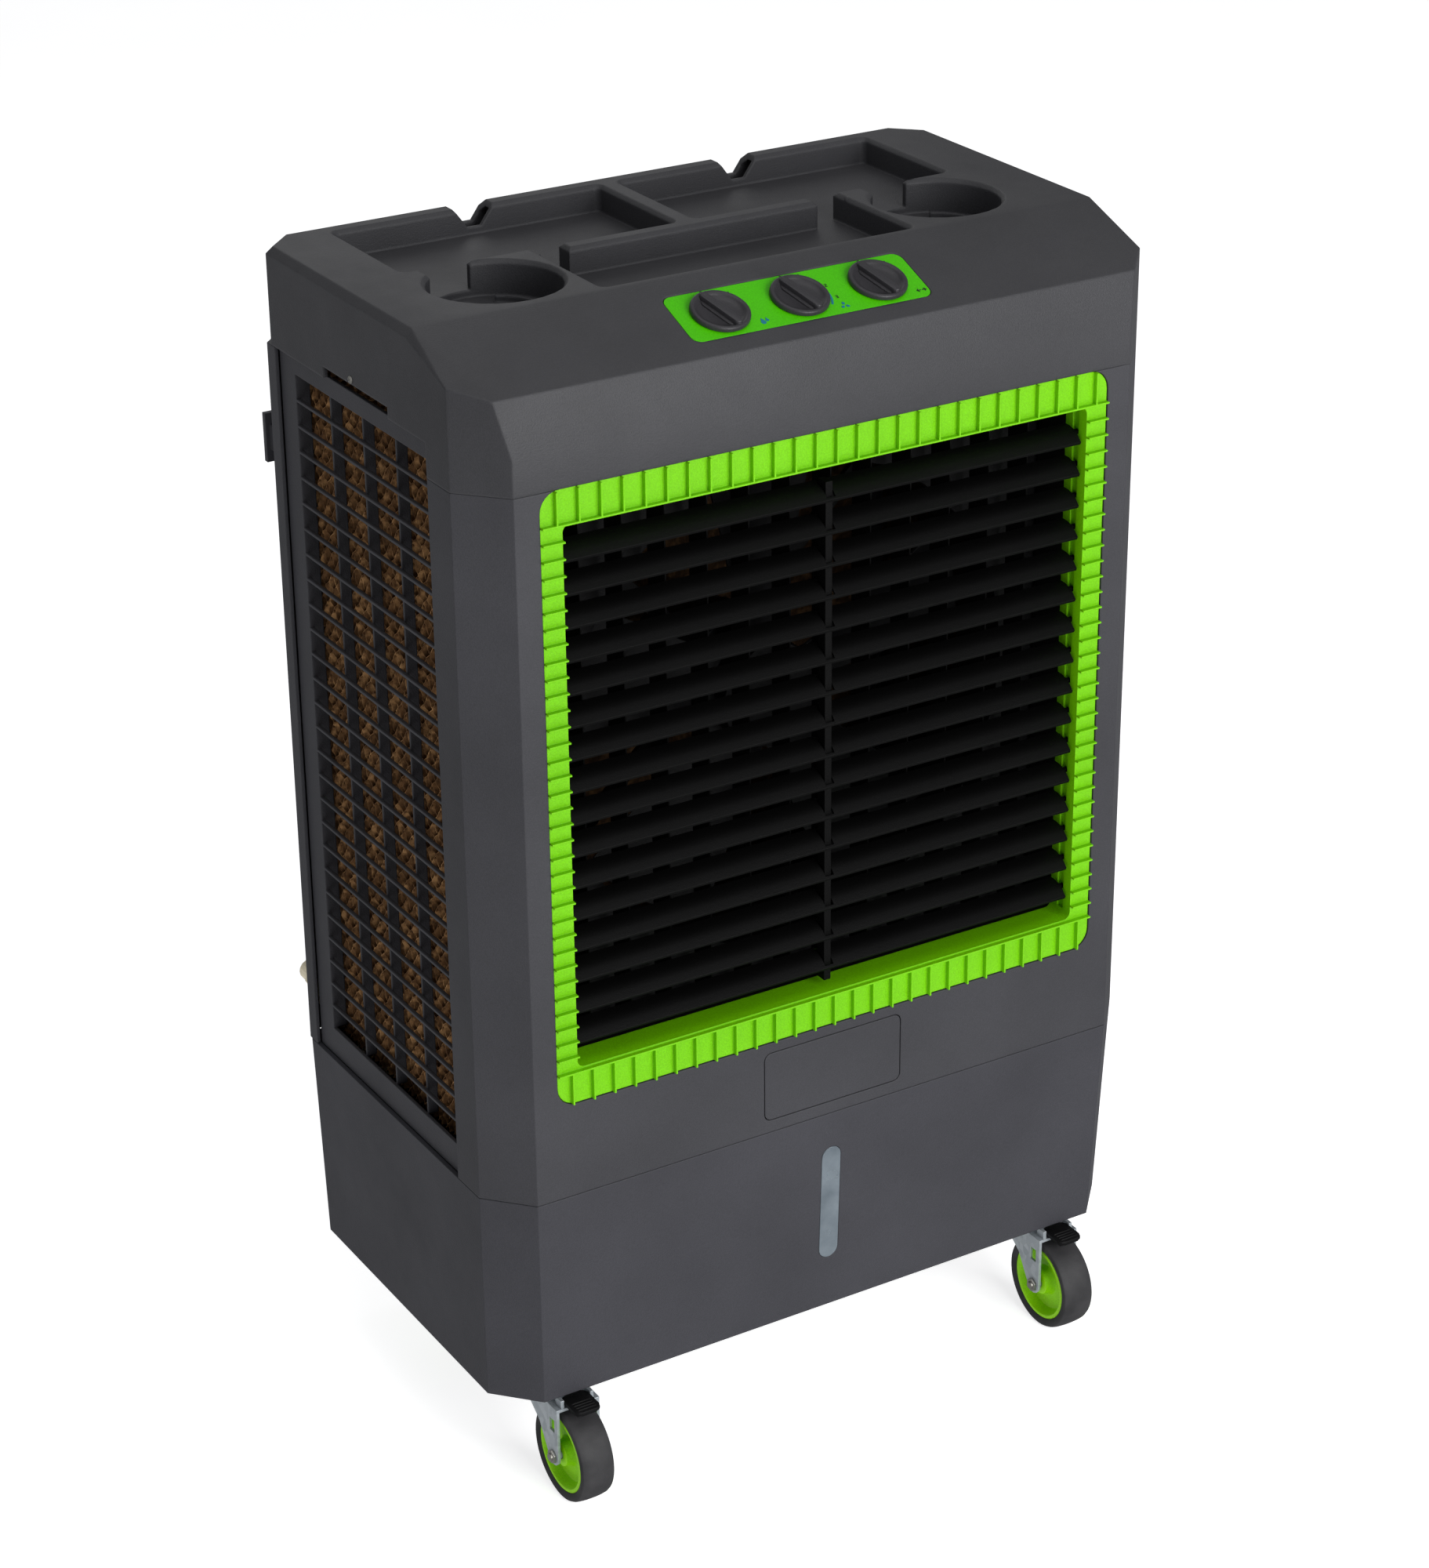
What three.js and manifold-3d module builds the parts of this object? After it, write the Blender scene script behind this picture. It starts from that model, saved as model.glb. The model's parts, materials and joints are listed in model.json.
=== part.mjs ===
// Evaporative cooler on four casters, in millimetres, +Z up, front towards -Y.
// Working frame: y = 0 is the front face of the housing and z = 0 is the underside of the
// water tank. The root group moves that frame to the part's own: centred on x and y, with
// z = 0 on the ground under the wheels.
import * as THREE from "three";
import { ConvexGeometry } from "three/addons/geometries/ConvexGeometry.js";
import { mergeVertices } from "three/addons/utils/BufferGeometryUtils.js";
import Module from "manifold-3d";

const wasm = await Module();
wasm.setup();

// ---- Driving dimensions ----
const HALF_WIDTH = 305;
const DEPTH = 356; // over the top cover
const GROUND_CLEARANCE = 102; // ground to the tank's underside
const WALL = 3; // moulded panels
const GAP = 0.3; // between pieces that touch
const CORNER_X = 32.6; // front corner chamfer, across
const CORNER_Y = 35.6; // front corner chamfer, back
const PANEL_RETURN_Y = 71; // the front panel's side walls end here
const BODY_BACK = 351;
const PANEL_MITRE = 1.3; // shift of a panel's inner corner at a 45 degree bend

const TANK_TOP = 189;
const TANK_WALL = 4;
const TANK_FLOOR = 5;
const TANK_BACK = 348;
const TANK_DRAFT_X = 4.5; // the tank narrows towards its underside
const TANK_DRAFT_FRONT = 8.7;
const TANK_DRAFT_BACK = 3;
const TANK_REAR_CHAMFER = 12;
const MITRE_SHARE = 0.6; // a chamfer's corners move by this share of an inset
const SOCKET_RADIUS = 13; // caster sockets in the tank's floor
const SOCKET_ROOF = 4;
const STEM_CLEARANCE = 0.8;

const COVER_SEAM = 776.5; // lower edge of the cover at the front
const SKIRT_BOTTOM = 803.5; // lower edge of the cover over the pads
const BROW_BEND = 805;
const BROW_TOP = 848;
const BROW_LEAN = 10; // the brow leans back by this much
const TOP = 882;
const TOP_FRONT = 96; // where the flat top starts
const TOP_EDGE = 5.4; // bevel round the flat top
const COVER_CORNER = 25; // rear corner chamfer
const COVER_WALL = 4;
const BROW_CORNER_X = 23.6; // the corner chamfer narrows to this at the brow's top
const BROW_CORNER_RISE = 7;
const CHAMFER_INSET = 0.4; // how far a vertical chamfer's corners follow an inset
const BROW_INSET = 0.9;

const TRAY_FLOOR = 860;
const TRAY_HALF_WIDTH = 245;
const TRAY_FRONT = 217;
const TRAY_BACK = 337;
const TRAY_RADIUS = 5;
const DIVIDER_HALF = 9;
const FRONT_TRAY_HALF = 137;
const FRONT_TRAY_FRONT = 105;
const TRAY_RIB_HALF = 112; // the rib between the front and rear trays
const TRAY_RIB_FRONT = 201;
const TRAY_EDGE = 3; // the hollows' rims are bevelled by this much
const CUP_X = 197.5;
const CUP_Y = 161;
const CUP_RADIUS = 52;
const CUP_FLOOR = 854;
const CUP_RING_RADIUS = 39;
const CUP_RING_WIDTH = 4;
const CUP_RING_HEIGHT = 5;
const CUP_RING_ARCS = [[-0.5, 1.1], [2.6, 4.2]]; // from and to, in radians
const HANDLE_SLOT_SHIFT = -14; // the mug-handle slot's middle from the cup's
const HANDLE_SLOT_HALF = 20;
const FINGER_FRONT = 131;
const FINGER_BACK = 239;
const FINGER_HEIGHT = 9;
const CORD_NOTCH_X = 122;
const CORD_NOTCH_TOP_HALF = 20;
const CORD_NOTCH_FLOOR_HALF = 6;
const CORD_NOTCH_FLOOR = 866;

const OPENING_HALF = 233; // air outlet
const OPENING_BOTTOM = 300.8;
const OPENING_TOP = 748;
const OPENING_RADIUS = 6;
const BEZEL_HALF = 251.4;
const BEZEL_BOTTOM = 271;
const BEZEL_TOP = 776;
const BEZEL_RADIUS = 16;
const FLANGE_FRONT = 1; // the flange sits just inside the panel's front face
const FLANGE_BACK = 5.3;
const FLANGE_LIP = 3; // hidden lip behind the panel
const BEZEL_DEPTH = 64;
const BEZEL_WALL = 4;
const RIB_FRONT = -3.3; // the flange's ribs stand proud of the panel
const RIB_THICK = 1.5;
const SIDE_RIBS = 35;
const SIDE_RIB_FIRST = 298.8;
const SIDE_RIB_PITCH = 13.25;
const UPRIGHT_RIBS = 27;
const UPRIGHT_RIB_PITCH = 18.4;
const CHANNEL_DEPTH = 2.3; // louvre and vane pins turn in channels in the bezel's walls
const CHANNEL_HALF = 3.7;
const CHANNEL_END = 5; // an upright channel stops this far short of the opening's ends
const PIVOT_PIN = 2.6; // radius of the louvres' and vanes' end pins
const PIVOT_PIN_GAP = 0.6; // between a pin's end and its channel's floor
const PIVOT_PIN_ROOT = 8; // length of a pin inside its blade

const LOUVRES = 16;
const LOUVRE_Y = 15;
const LOUVRE_FIRST_Z = 325.1;
const LOUVRE_PITCH = 26.55;
const LOUVRE_CHORD = 23;
const LOUVRE_SAG = 3;
const LOUVRE_THICK = 2.4;
const LOUVRE_STEPS = 4; // flats across a louvre's curve
const LOUVRE_TILT = 24; // degrees, front edge down
const LOUVRE_END_GAP = 2;
const LINK_PIN = 3.2; // the link bar's pins, ahead of the louvre's pivot
const LINK_PIN_RADIUS = 1.5;
const LINK_HOLE_RADIUS = 2.1;
const LINK_HALF_WIDTH = 3;
const LINK_AHEAD = 3; // the bar's front face, ahead of its pins
const LINK_BEHIND = 8;
const LINK_BOTTOM = 307;
const LINK_OVERRUN = 8; // the bar ends this far above the top louvre's pivot
const LINK_SLOT_HALF = 4;
const LINK_SLOT_FRONT = -9.5; // along the louvre's chord from its pivot
const LINK_SLOT_BACK = 9.4;

const VANES = 12;
const VANE_Y = 48;
const VANE_PITCH = 36.7;
const VANE_CHORD = 26;
const VANE_THICK = 2;
const VANE_EDGE = 1.2; // thickness along a vane's edges
const VANE_END_GAP = 2.5;

const PLATE_HALF = 105; // control plate
const PLATE_LENGTH = 54;
const PLATE_START = 18; // from the slope's lower edge
const PLATE_THICK = 1.6;
const PLATE_POCKET = 2;
const PLATE_RADIUS = 8;
const PLATE_BACKING = 6;
const KNOB_PITCH = 69.4;
const KNOB_RADIUS = 24;
const KNOB_STEM = 4;
const KNOB_LIFT = 26; // knob centres, up the slope from the plate's lower edge
const KNOB_RIM = 5; // height of the knob's rim
const KNOB_DISH = 2.5;
const GRIP_HALF = 4;
const GRIP_HEIGHT = 9;
const GRIP_TURN = 18; // degrees

const DOOR_HALF = 64.5; // fill door
const DOOR_BOTTOM = 200.5;
const DOOR_TOP = 261;
const DOOR_RADIUS = 6;
const DOOR_GAP = 0.8;
const DOOR_HINGE_Y = 1.5;
const DOOR_HINGE_Z = 203.5;

const WINDOW_HALF = 9; // level window
const WINDOW_BOTTOM = 48;
const WINDOW_TOP = 156;
const WINDOW_FLANGE = 4; // behind the tank's wall
const WINDOW_FLANGE_THICK = 2;

const FRAME_BACK = 325; // side pad frames
const FRAME_INSET = 4; // behind the cover's skirt
const GRID_FRONT = 79;
const GRID_BACK = 299;
const GRID_BOTTOM = 215;
const GRID_TOP = 788;
const GRID_COLUMNS = 4;
const GRID_BARS = 26;
const FIN_DEPTH = 12;
const FIN_THICK = 2;
const BAR_THICK = 2.2;
const REAR_FRAME_HALF = 226;
const REAR_GRID_HALF = 210;
const STRAP_LAP = 8; // the straps behind the rear frame reach past it by this
const STRAP_DEPTH = 8;
const STRAP_THICK = 3.4;
const REAR_COLUMNS = 7;
const PAD_THICK = 32;
const PAD_BOTTOM = 202;
const PAD_TOP = 790;

const FAN_Z = (OPENING_BOTTOM + OPENING_TOP) / 2;
const FAN_RADIUS = 196;
const FAN_BLADES = 5;
const FAN_FRONT = 92;
const FAN_HUB_RADIUS = 44;
const FAN_HUB_LENGTH = 36;
const BLADE_CHORD = 120;
const BLADE_ROOT_SHARE = 0.45; // of the chord, at the hub
const BLADE_ROOT_PITCH = 38; // degrees
const BLADE_TIP_PITCH = 20;
const SHROUD_Y = 68;
const SHROUD_RADIUS = 204;
const SHROUD_LENGTH = 62;
const MOTOR_RADIUS = 45;
const MOTOR_FRONT = 150;
const MOTOR_LENGTH = 85;
const SHAFT_RADIUS = 5;
const SHAFT_CLEARANCE = 0.5;
const ARM_HALF = 6; // the shroud's arms that carry the motor
const ARM_THICK = 5;

// Swivel axes, front and rear.
const CASTER_X = [238, 170];
const CASTER_Y = [44, 298];
const CASTER_TRAIL = 28; // the axle lies ahead of the swivel axis
const WHEEL_RADIUS = 42;
const WHEEL_HALF_WIDTH = 15;
const AXLE_Z = WHEEL_RADIUS - GROUND_CLEARANCE;
const FORK_CROWN_TOP = -12;
const FORK_SHEET = 2.5;
const FORK_INNER = 17.2;
const STEM_RADIUS = 5.4;
const STEM_TOP = 38;
const FORK_FRONT = CASTER_TRAIL + 8; // ahead of the swivel axis
const FORK_BACK = 18;
const RACE_RADIUS = 17; // the swivel's ball race
const AXLE_RADIUS = 4;
const BRACKET_X = 13.5; // brake pedal brackets
const PEDAL_HALF = 11.5;
const WHEEL_FRONT = CASTER_Y[0] - CASTER_TRAIL - WHEEL_RADIUS;
const REAR_REACH = DEPTH - WHEEL_FRONT; // fittings behind reach as far as the front wheels

const PIPE = 6; // water pipes' radius
const RISER_X = -258;
const RISER_Y = 334;
const DISTRIBUTOR_Z = 812;
const DISTRIBUTOR_FRONT = 92;
const PUMP_X = -100;
const PUMP_Y = 296;
const PUMP_HALF = 28;
const PUMP_TOP = 72;
const ELBOW_Z = 140; // where the riser leaves the pump's column
const INLET_X = -283; // hose inlet
const INLET_Z = 228;
const INLET_RADIUS = 9.5;
const INLET_HOLE = 9;
const NUT_RADIUS = 12.5;
const CLEAT_X = 285; // cord cleats
const CLEAT_Z = 710.5;

// ---- Finishes ----
const CHARCOAL = { color: 0x4b4b50, roughness: 0.55, metalness: 0 };
const BLACK = { color: 0x161616, roughness: 0.5, metalness: 0 };
const LIME = { color: 0x78dc14, roughness: 0.45, metalness: 0 };
const GREEN = { color: 0x3cc800, roughness: 0.5, metalness: 0 };
const ZINC = { color: 0x96a0a5, roughness: 0.4, metalness: 0.9 };
const PAD_BROWN = { color: 0x6e4b2d, roughness: 0.95, metalness: 0 };
const HUB_LIME = { color: 0x82c800, roughness: 0.5, metalness: 0 };
const CLEAR = { color: 0x9fb0b4, roughness: 0.2, metalness: 0 };
const OFF_WHITE = { color: 0xe1d7be, roughness: 0.5, metalness: 0 };
const STEEL = { color: 0x5a5d60, roughness: 0.5, metalness: 0.6 };

const root = new THREE.Group();
root.position.set(0, -DEPTH / 2, GROUND_CLEARANCE);

// ---- Solids ----
function solid(geometry) {
  const bare = geometry.clone();
  bare.deleteAttribute("normal");
  bare.deleteAttribute("uv");
  const merged = mergeVertices(bare, 1e-4);
  return new wasm.Manifold(new wasm.Mesh({
    numProp: 3,
    vertProperties: new Float32Array(merged.attributes.position.array),
    triVerts: new Uint32Array(merged.index.array),
  }));
}

function join(...geometries) {
  return geometryOf(geometries.map(solid).reduce((all, one) => all.add(one)));
}

function cut(geometry, ...tools) {
  return geometryOf(tools.reduce((left, tool) => left.subtract(solid(tool)), solid(geometry)));
}

function common(a, b) {
  return geometryOf(solid(a).intersect(solid(b)));
}

function geometryOf(manifold) {
  const mesh = manifold.getMesh();
  return new THREE.BufferGeometry()
    .setAttribute("position", new THREE.BufferAttribute(new Float32Array(mesh.vertProperties), 3))
    .setIndex(new THREE.BufferAttribute(new Uint32Array(mesh.triVerts), 1));
}

function box(x0, x1, y0, y1, z0, z1) {
  return new THREE.BoxGeometry(x1 - x0, y1 - y0, z1 - z0)
    .translate((x0 + x1) / 2, (y0 + y1) / 2, (z0 + z1) / 2);
}

function extrude(shape, depth) {
  return new THREE.ExtrudeGeometry(shape, { depth, bevelEnabled: false, curveSegments: 3 });
}

function shapeOf(points) {
  return new THREE.Shape(points.map(([a, b]) => new THREE.Vector2(a, b)));
}

const AXIS_X = new THREE.Vector3(1, 0, 0);
const AXIS_Y = new THREE.Vector3(0, 1, 0);
const AXIS_Z = new THREE.Vector3(0, 0, 1);

// A (y, z) outline drawn out along x.
function prismX(shape, x0, x1) {
  const turn = new THREE.Matrix4().makeBasis(AXIS_Y, AXIS_Z, AXIS_X);
  return extrude(shape, x1 - x0).applyMatrix4(turn).translate(x0, 0, 0);
}

// An (x, z) outline drawn out along y.
function prismY(shape, y0, y1) {
  const turn = new THREE.Matrix4().makeBasis(AXIS_X, AXIS_Z, AXIS_Y.clone().negate());
  return extrude(shape, y1 - y0).applyMatrix4(turn).translate(0, y1, 0);
}

// An (x, y) outline drawn out along z.
function prismZ(shape, z0, z1) {
  return extrude(shape, z1 - z0).translate(0, 0, z0);
}

function rod(radius, from, to, sides = 16) {
  const a = new THREE.Vector3(...from);
  const b = new THREE.Vector3(...to);
  const along = b.clone().sub(a);
  const turn = new THREE.Quaternion().setFromUnitVectors(AXIS_Y, along.clone().normalize());
  const middle = a.add(b).multiplyScalar(0.5);
  return new THREE.CylinderGeometry(radius, radius, along.length(), sides)
    .applyQuaternion(turn)
    .translate(middle.x, middle.y, middle.z);
}

function rounded(x0, x1, z0, z1, radius) {
  const s = new THREE.Shape();
  s.moveTo(x0 + radius, z0);
  s.lineTo(x1 - radius, z0);
  s.absarc(x1 - radius, z0 + radius, radius, -Math.PI / 2, 0);
  s.lineTo(x1, z1 - radius);
  s.absarc(x1 - radius, z1 - radius, radius, 0, Math.PI / 2);
  s.lineTo(x0 + radius, z1);
  s.absarc(x0 + radius, z1 - radius, radius, Math.PI / 2, Math.PI);
  s.lineTo(x0, z0 + radius);
  s.absarc(x0 + radius, z0 + radius, radius, Math.PI, 1.5 * Math.PI);
  return s;
}

function hull(points) {
  return new ConvexGeometry(points.map((p) => new THREE.Vector3(...p)));
}

function mirrored(geometry) {
  const flipped = geometry.index ? geometry.toNonIndexed() : geometry.clone();
  flipped.scale(-1, 1, 1);
  const p = flipped.attributes.position;
  for (let i = 0; i < p.count; i += 3) {
    const [x, y, z] = [p.getX(i), p.getY(i), p.getZ(i)];
    p.setXYZ(i, p.getX(i + 1), p.getY(i + 1), p.getZ(i + 1));
    p.setXYZ(i + 1, x, y, z);
  }
  return flipped;
}

function add(name, geometry, finish, parent = root) {
  const shown = geometry.clone();
  if (!shown.attributes.normal) shown.computeVertexNormals();
  const mesh = new THREE.Mesh(shown, new THREE.MeshStandardMaterial({ ...finish, flatShading: true }));
  mesh.name = name;
  parent.add(mesh);
  return mesh;
}

const radians = THREE.MathUtils.degToRad;

// ---- Water tank: drafted shell with four caster sockets and a slot for the level window ----
function tankOutline(inset, front, side, back, z) {
  const x = HALF_WIDTH - side - inset;
  const xIn = x - CORNER_X + inset * MITRE_SHARE;
  const y0 = front + inset;
  return [-1, 1].flatMap((s) => [
    [s * xIn, y0, z],
    [s * x, y0 + CORNER_Y - inset * MITRE_SHARE, z],
    [s * x, back - inset - TANK_REAR_CHAMFER, z],
    [s * (x - TANK_REAR_CHAMFER), back - inset, z],
  ]);
}

function tankHull(inset, z0, z1) {
  const level = (z) => {
    const t = 1 - z / TANK_TOP;
    return tankOutline(inset, TANK_DRAFT_FRONT * t, TANK_DRAFT_X * t, TANK_BACK - TANK_DRAFT_BACK * t, z);
  };
  return hull([...level(z0), ...level(z1)]);
}

const tankLean = Math.atan2(TANK_DRAFT_FRONT, TANK_TOP);

// Pieces built upright on the plane y = 0 and laid against the tank's leaning front.
function onTankFront(geometry) {
  return geometry.clone().rotateX(tankLean).translate(0, TANK_DRAFT_FRONT, 0);
}

const casterSpots = [];
CASTER_Y.forEach((y, row) => {
  for (const side of [-1, 1])
    casterSpots.push([side * CASTER_X[row], y]);
});

const boreTop = STEM_TOP + 2;
const sockets = casterSpots.map(([x, y]) => rod(SOCKET_RADIUS, [x, y, 1], [x, y, boreTop + SOCKET_ROOF], 10));
const socketBores = casterSpots.map(([x, y]) =>
  rod(STEM_RADIUS + STEM_CLEARANCE, [x, y, -1], [x, y, boreTop], 10));
const windowShape = (grow) =>
  rounded(-WINDOW_HALF - grow, WINDOW_HALF + grow, WINDOW_BOTTOM - grow, WINDOW_TOP + grow, WINDOW_HALF + grow);
const tank = cut(
  join(cut(tankHull(0, 0, TANK_TOP - GAP), tankHull(TANK_WALL, TANK_FLOOR, TANK_TOP + 5)), ...sockets),
  ...socketBores,
  onTankFront(prismY(windowShape(GAP), -5, 12)),
);
add("tank", tank, CHARCOAL);

const windowSeat = TANK_WALL + 2 * GAP;
const levelWindow = join(
  prismY(windowShape(0), -GAP, windowSeat + 1),
  prismY(windowShape(WINDOW_FLANGE), windowSeat, windowSeat + WINDOW_FLANGE_THICK),
);
add("level_window", onTankFront(levelWindow), CLEAR);

// ---- Front panel with the outlet opening and the fill-door opening ----
const panelOutline = [
  [-HALF_WIDTH, PANEL_RETURN_Y],
  [-HALF_WIDTH, CORNER_Y],
  [-HALF_WIDTH + CORNER_X, 0],
  [HALF_WIDTH - CORNER_X, 0],
  [HALF_WIDTH, CORNER_Y],
  [HALF_WIDTH, PANEL_RETURN_Y],
  [HALF_WIDTH - WALL, PANEL_RETURN_Y],
  [HALF_WIDTH - WALL, CORNER_Y + PANEL_MITRE],
  [HALF_WIDTH - CORNER_X - PANEL_MITRE, WALL],
  [-HALF_WIDTH + CORNER_X + PANEL_MITRE, WALL],
  [-HALF_WIDTH + WALL, CORNER_Y + PANEL_MITRE],
  [-HALF_WIDTH + WALL, PANEL_RETURN_Y],
];
const flangeOutline = (grow) => rounded(-BEZEL_HALF - grow, BEZEL_HALF + grow, BEZEL_BOTTOM - grow,
  BEZEL_TOP + grow, BEZEL_RADIUS + grow);
const frontPanel = cut(
  prismZ(shapeOf(panelOutline.slice().reverse()), TANK_TOP + GAP, COVER_SEAM - GAP),
  prismY(flangeOutline(2 * GAP), -1, WALL + 1),
  prismY(rounded(-DOOR_HALF - DOOR_GAP, DOOR_HALF + DOOR_GAP, DOOR_BOTTOM - DOOR_GAP, DOOR_TOP + DOOR_GAP,
    DOOR_RADIUS + DOOR_GAP), -1, WALL + 1),
);
add("front_panel", frontPanel, CHARCOAL);

// ---- Outlet bezel: a ribbed flange and a deep return, with channels for the blades' pins ----
const sideRibZ = (i) => SIDE_RIB_FIRST + SIDE_RIB_PITCH * i;

function bezelRibs() {
  const half = RIB_THICK / 2;
  const across = (x0, x1, z) => box(x0, x1, RIB_FRONT, FLANGE_BACK, z - half, z + half);
  const upright = (x, z0, z1) => box(x - half, x + half, RIB_FRONT, FLANGE_BACK, z0, z1);
  const lowest = sideRibZ(0);
  const highest = sideRibZ(SIDE_RIBS - 1);
  const ribs = [across(-BEZEL_HALF, BEZEL_HALF, lowest), across(-BEZEL_HALF, BEZEL_HALF, highest)];
  for (let i = 1; i < SIDE_RIBS - 1; i++) {
    ribs.push(across(-BEZEL_HALF, -OPENING_HALF, sideRibZ(i)));
    ribs.push(across(OPENING_HALF, BEZEL_HALF, sideRibZ(i)));
  }
  for (let i = 0; i < UPRIGHT_RIBS; i++) {
    const x = (i - (UPRIGHT_RIBS - 1) / 2) * UPRIGHT_RIB_PITCH;
    ribs.push(upright(x, BEZEL_BOTTOM, lowest));
    ribs.push(upright(x, highest, BEZEL_TOP));
  }
  return common(join(...ribs), prismY(flangeOutline(0), RIB_FRONT - 1, FLANGE_BACK));
}

const bezel = cut(
  join(
    bezelRibs(),
    prismY(flangeOutline(0), FLANGE_FRONT, FLANGE_BACK),
    box(-BEZEL_HALF - FLANGE_LIP, BEZEL_HALF + FLANGE_LIP, WALL + GAP, FLANGE_BACK,
      BEZEL_BOTTOM - FLANGE_LIP, BEZEL_TOP),
    box(-OPENING_HALF - BEZEL_WALL, OPENING_HALF + BEZEL_WALL, FLANGE_BACK - 1, BEZEL_DEPTH,
      OPENING_BOTTOM - BEZEL_WALL, OPENING_TOP + BEZEL_WALL),
  ),
  prismY(rounded(-OPENING_HALF, OPENING_HALF, OPENING_BOTTOM, OPENING_TOP, OPENING_RADIUS),
    RIB_FRONT - 1, BEZEL_DEPTH + 1),
  box(-OPENING_HALF - CHANNEL_DEPTH, OPENING_HALF + CHANNEL_DEPTH, LOUVRE_Y - CHANNEL_HALF,
    LOUVRE_Y + CHANNEL_HALF, OPENING_BOTTOM + CHANNEL_END, OPENING_TOP - CHANNEL_END),
  box(-VANE_PITCH * VANES / 2, VANE_PITCH * VANES / 2, VANE_Y - CHANNEL_HALF, VANE_Y + CHANNEL_HALF,
    OPENING_BOTTOM - CHANNEL_DEPTH, OPENING_TOP + CHANNEL_DEPTH),
);
add("front_bezel", bezel, LIME);

// ---- Horizontal louvres and the bar that links them ----
// A cambered strip centred on its pivot, in (y, z), with its front edge down.
function louvreSection() {
  const half = LOUVRE_CHORD / 2;
  const upper = [];
  const lower = [];
  for (let i = 0; i <= LOUVRE_STEPS; i++) {
    const s = -half + (LOUVRE_CHORD * i) / LOUVRE_STEPS;
    const camber = LOUVRE_SAG * (1 - (s / half) ** 2) - LOUVRE_SAG / 2;
    upper.push([s, camber + LOUVRE_THICK / 2]);
    lower.unshift([s, camber - LOUVRE_THICK / 2]);
  }
  const t = radians(LOUVRE_TILT);
  const turned = [...upper, ...lower].map(([s, c]) => [
    s * Math.cos(t) - c * Math.sin(t),
    s * Math.sin(t) + c * Math.cos(t),
  ]);
  return shapeOf(turned.reverse());
}

const tilt = radians(LOUVRE_TILT);
const pinY = -LINK_PIN * Math.cos(tilt);
const pinZ = -LINK_PIN * Math.sin(tilt);
// The slot the link bar passes through lies along the chord and stops short of both edges.
const linkSlot = box(-LINK_SLOT_HALF, LINK_SLOT_HALF, LINK_SLOT_FRONT, LINK_SLOT_BACK,
  -LOUVRE_CHORD / 2, LOUVRE_CHORD / 2).rotateX(tilt);
const louvreEnd = OPENING_HALF - LOUVRE_END_GAP;
const pinTip = OPENING_HALF + CHANNEL_DEPTH - PIVOT_PIN_GAP;
const louvre = join(
  cut(prismX(louvreSection(), -louvreEnd, louvreEnd), linkSlot),
  rod(PIVOT_PIN, [-pinTip, 0, 0], [-louvreEnd + PIVOT_PIN_ROOT, 0, 0], 6),
  rod(PIVOT_PIN, [louvreEnd - PIVOT_PIN_ROOT, 0, 0], [pinTip, 0, 0], 6),
  rod(LINK_PIN_RADIUS, [-LINK_SLOT_HALF - 1, pinY, pinZ], [LINK_SLOT_HALF + 1, pinY, pinZ], 6),
);
const louvreZ = (i) => LOUVRE_FIRST_Z + LOUVRE_PITCH * i;
for (let i = 0; i < LOUVRES; i++) {
  const number = String(i + 1).padStart(2, "0");
  add("louvre_" + number, louvre, BLACK).position.set(0, LOUVRE_Y, louvreZ(i));
}

const barPinY = LOUVRE_Y + pinY;
const linkHoles = [];
for (let i = 0; i < LOUVRES; i++) {
  const z = louvreZ(i) + pinZ;
  linkHoles.push(
    rod(LINK_HOLE_RADIUS, [-LINK_HALF_WIDTH - 1, barPinY, z], [LINK_HALF_WIDTH + 1, barPinY, z], 6));
}
const linkBar = cut(
  box(-LINK_HALF_WIDTH, LINK_HALF_WIDTH, barPinY - LINK_AHEAD, barPinY + LINK_BEHIND,
    LINK_BOTTOM, louvreZ(LOUVRES - 1) + LINK_OVERRUN),
  ...linkHoles,
);
add("louvre_link_bar", linkBar, BLACK);

// ---- Upright swing vanes behind the louvres ----
const vaneBottom = OPENING_BOTTOM + VANE_END_GAP;
const vaneTop = OPENING_TOP - VANE_END_GAP;
const vaneSection = shapeOf([
  [-VANE_EDGE / 2, -VANE_CHORD / 2],
  [VANE_EDGE / 2, -VANE_CHORD / 2],
  [VANE_THICK / 2, 0],
  [VANE_EDGE / 2, VANE_CHORD / 2],
  [-VANE_EDGE / 2, VANE_CHORD / 2],
  [-VANE_THICK / 2, 0],
]);
const channelFloor = CHANNEL_DEPTH - PIVOT_PIN_GAP;
const vane = join(
  prismZ(vaneSection, vaneBottom, vaneTop),
  rod(PIVOT_PIN, [0, 0, OPENING_BOTTOM - channelFloor], [0, 0, vaneBottom + PIVOT_PIN_ROOT], 6),
  rod(PIVOT_PIN, [0, 0, vaneTop - PIVOT_PIN_ROOT], [0, 0, OPENING_TOP + channelFloor], 6),
);
for (let i = 0; i < VANES; i++) {
  const x = (i - (VANES - 1) / 2) * VANE_PITCH;
  add("swing_vane_" + String(i + 1).padStart(2, "0"), vane, BLACK).position.set(x, VANE_Y, 0);
}

// ---- Top cover ----
const slopeAngle = Math.atan2(TOP - BROW_TOP, TOP_FRONT - BROW_LEAN);

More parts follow.
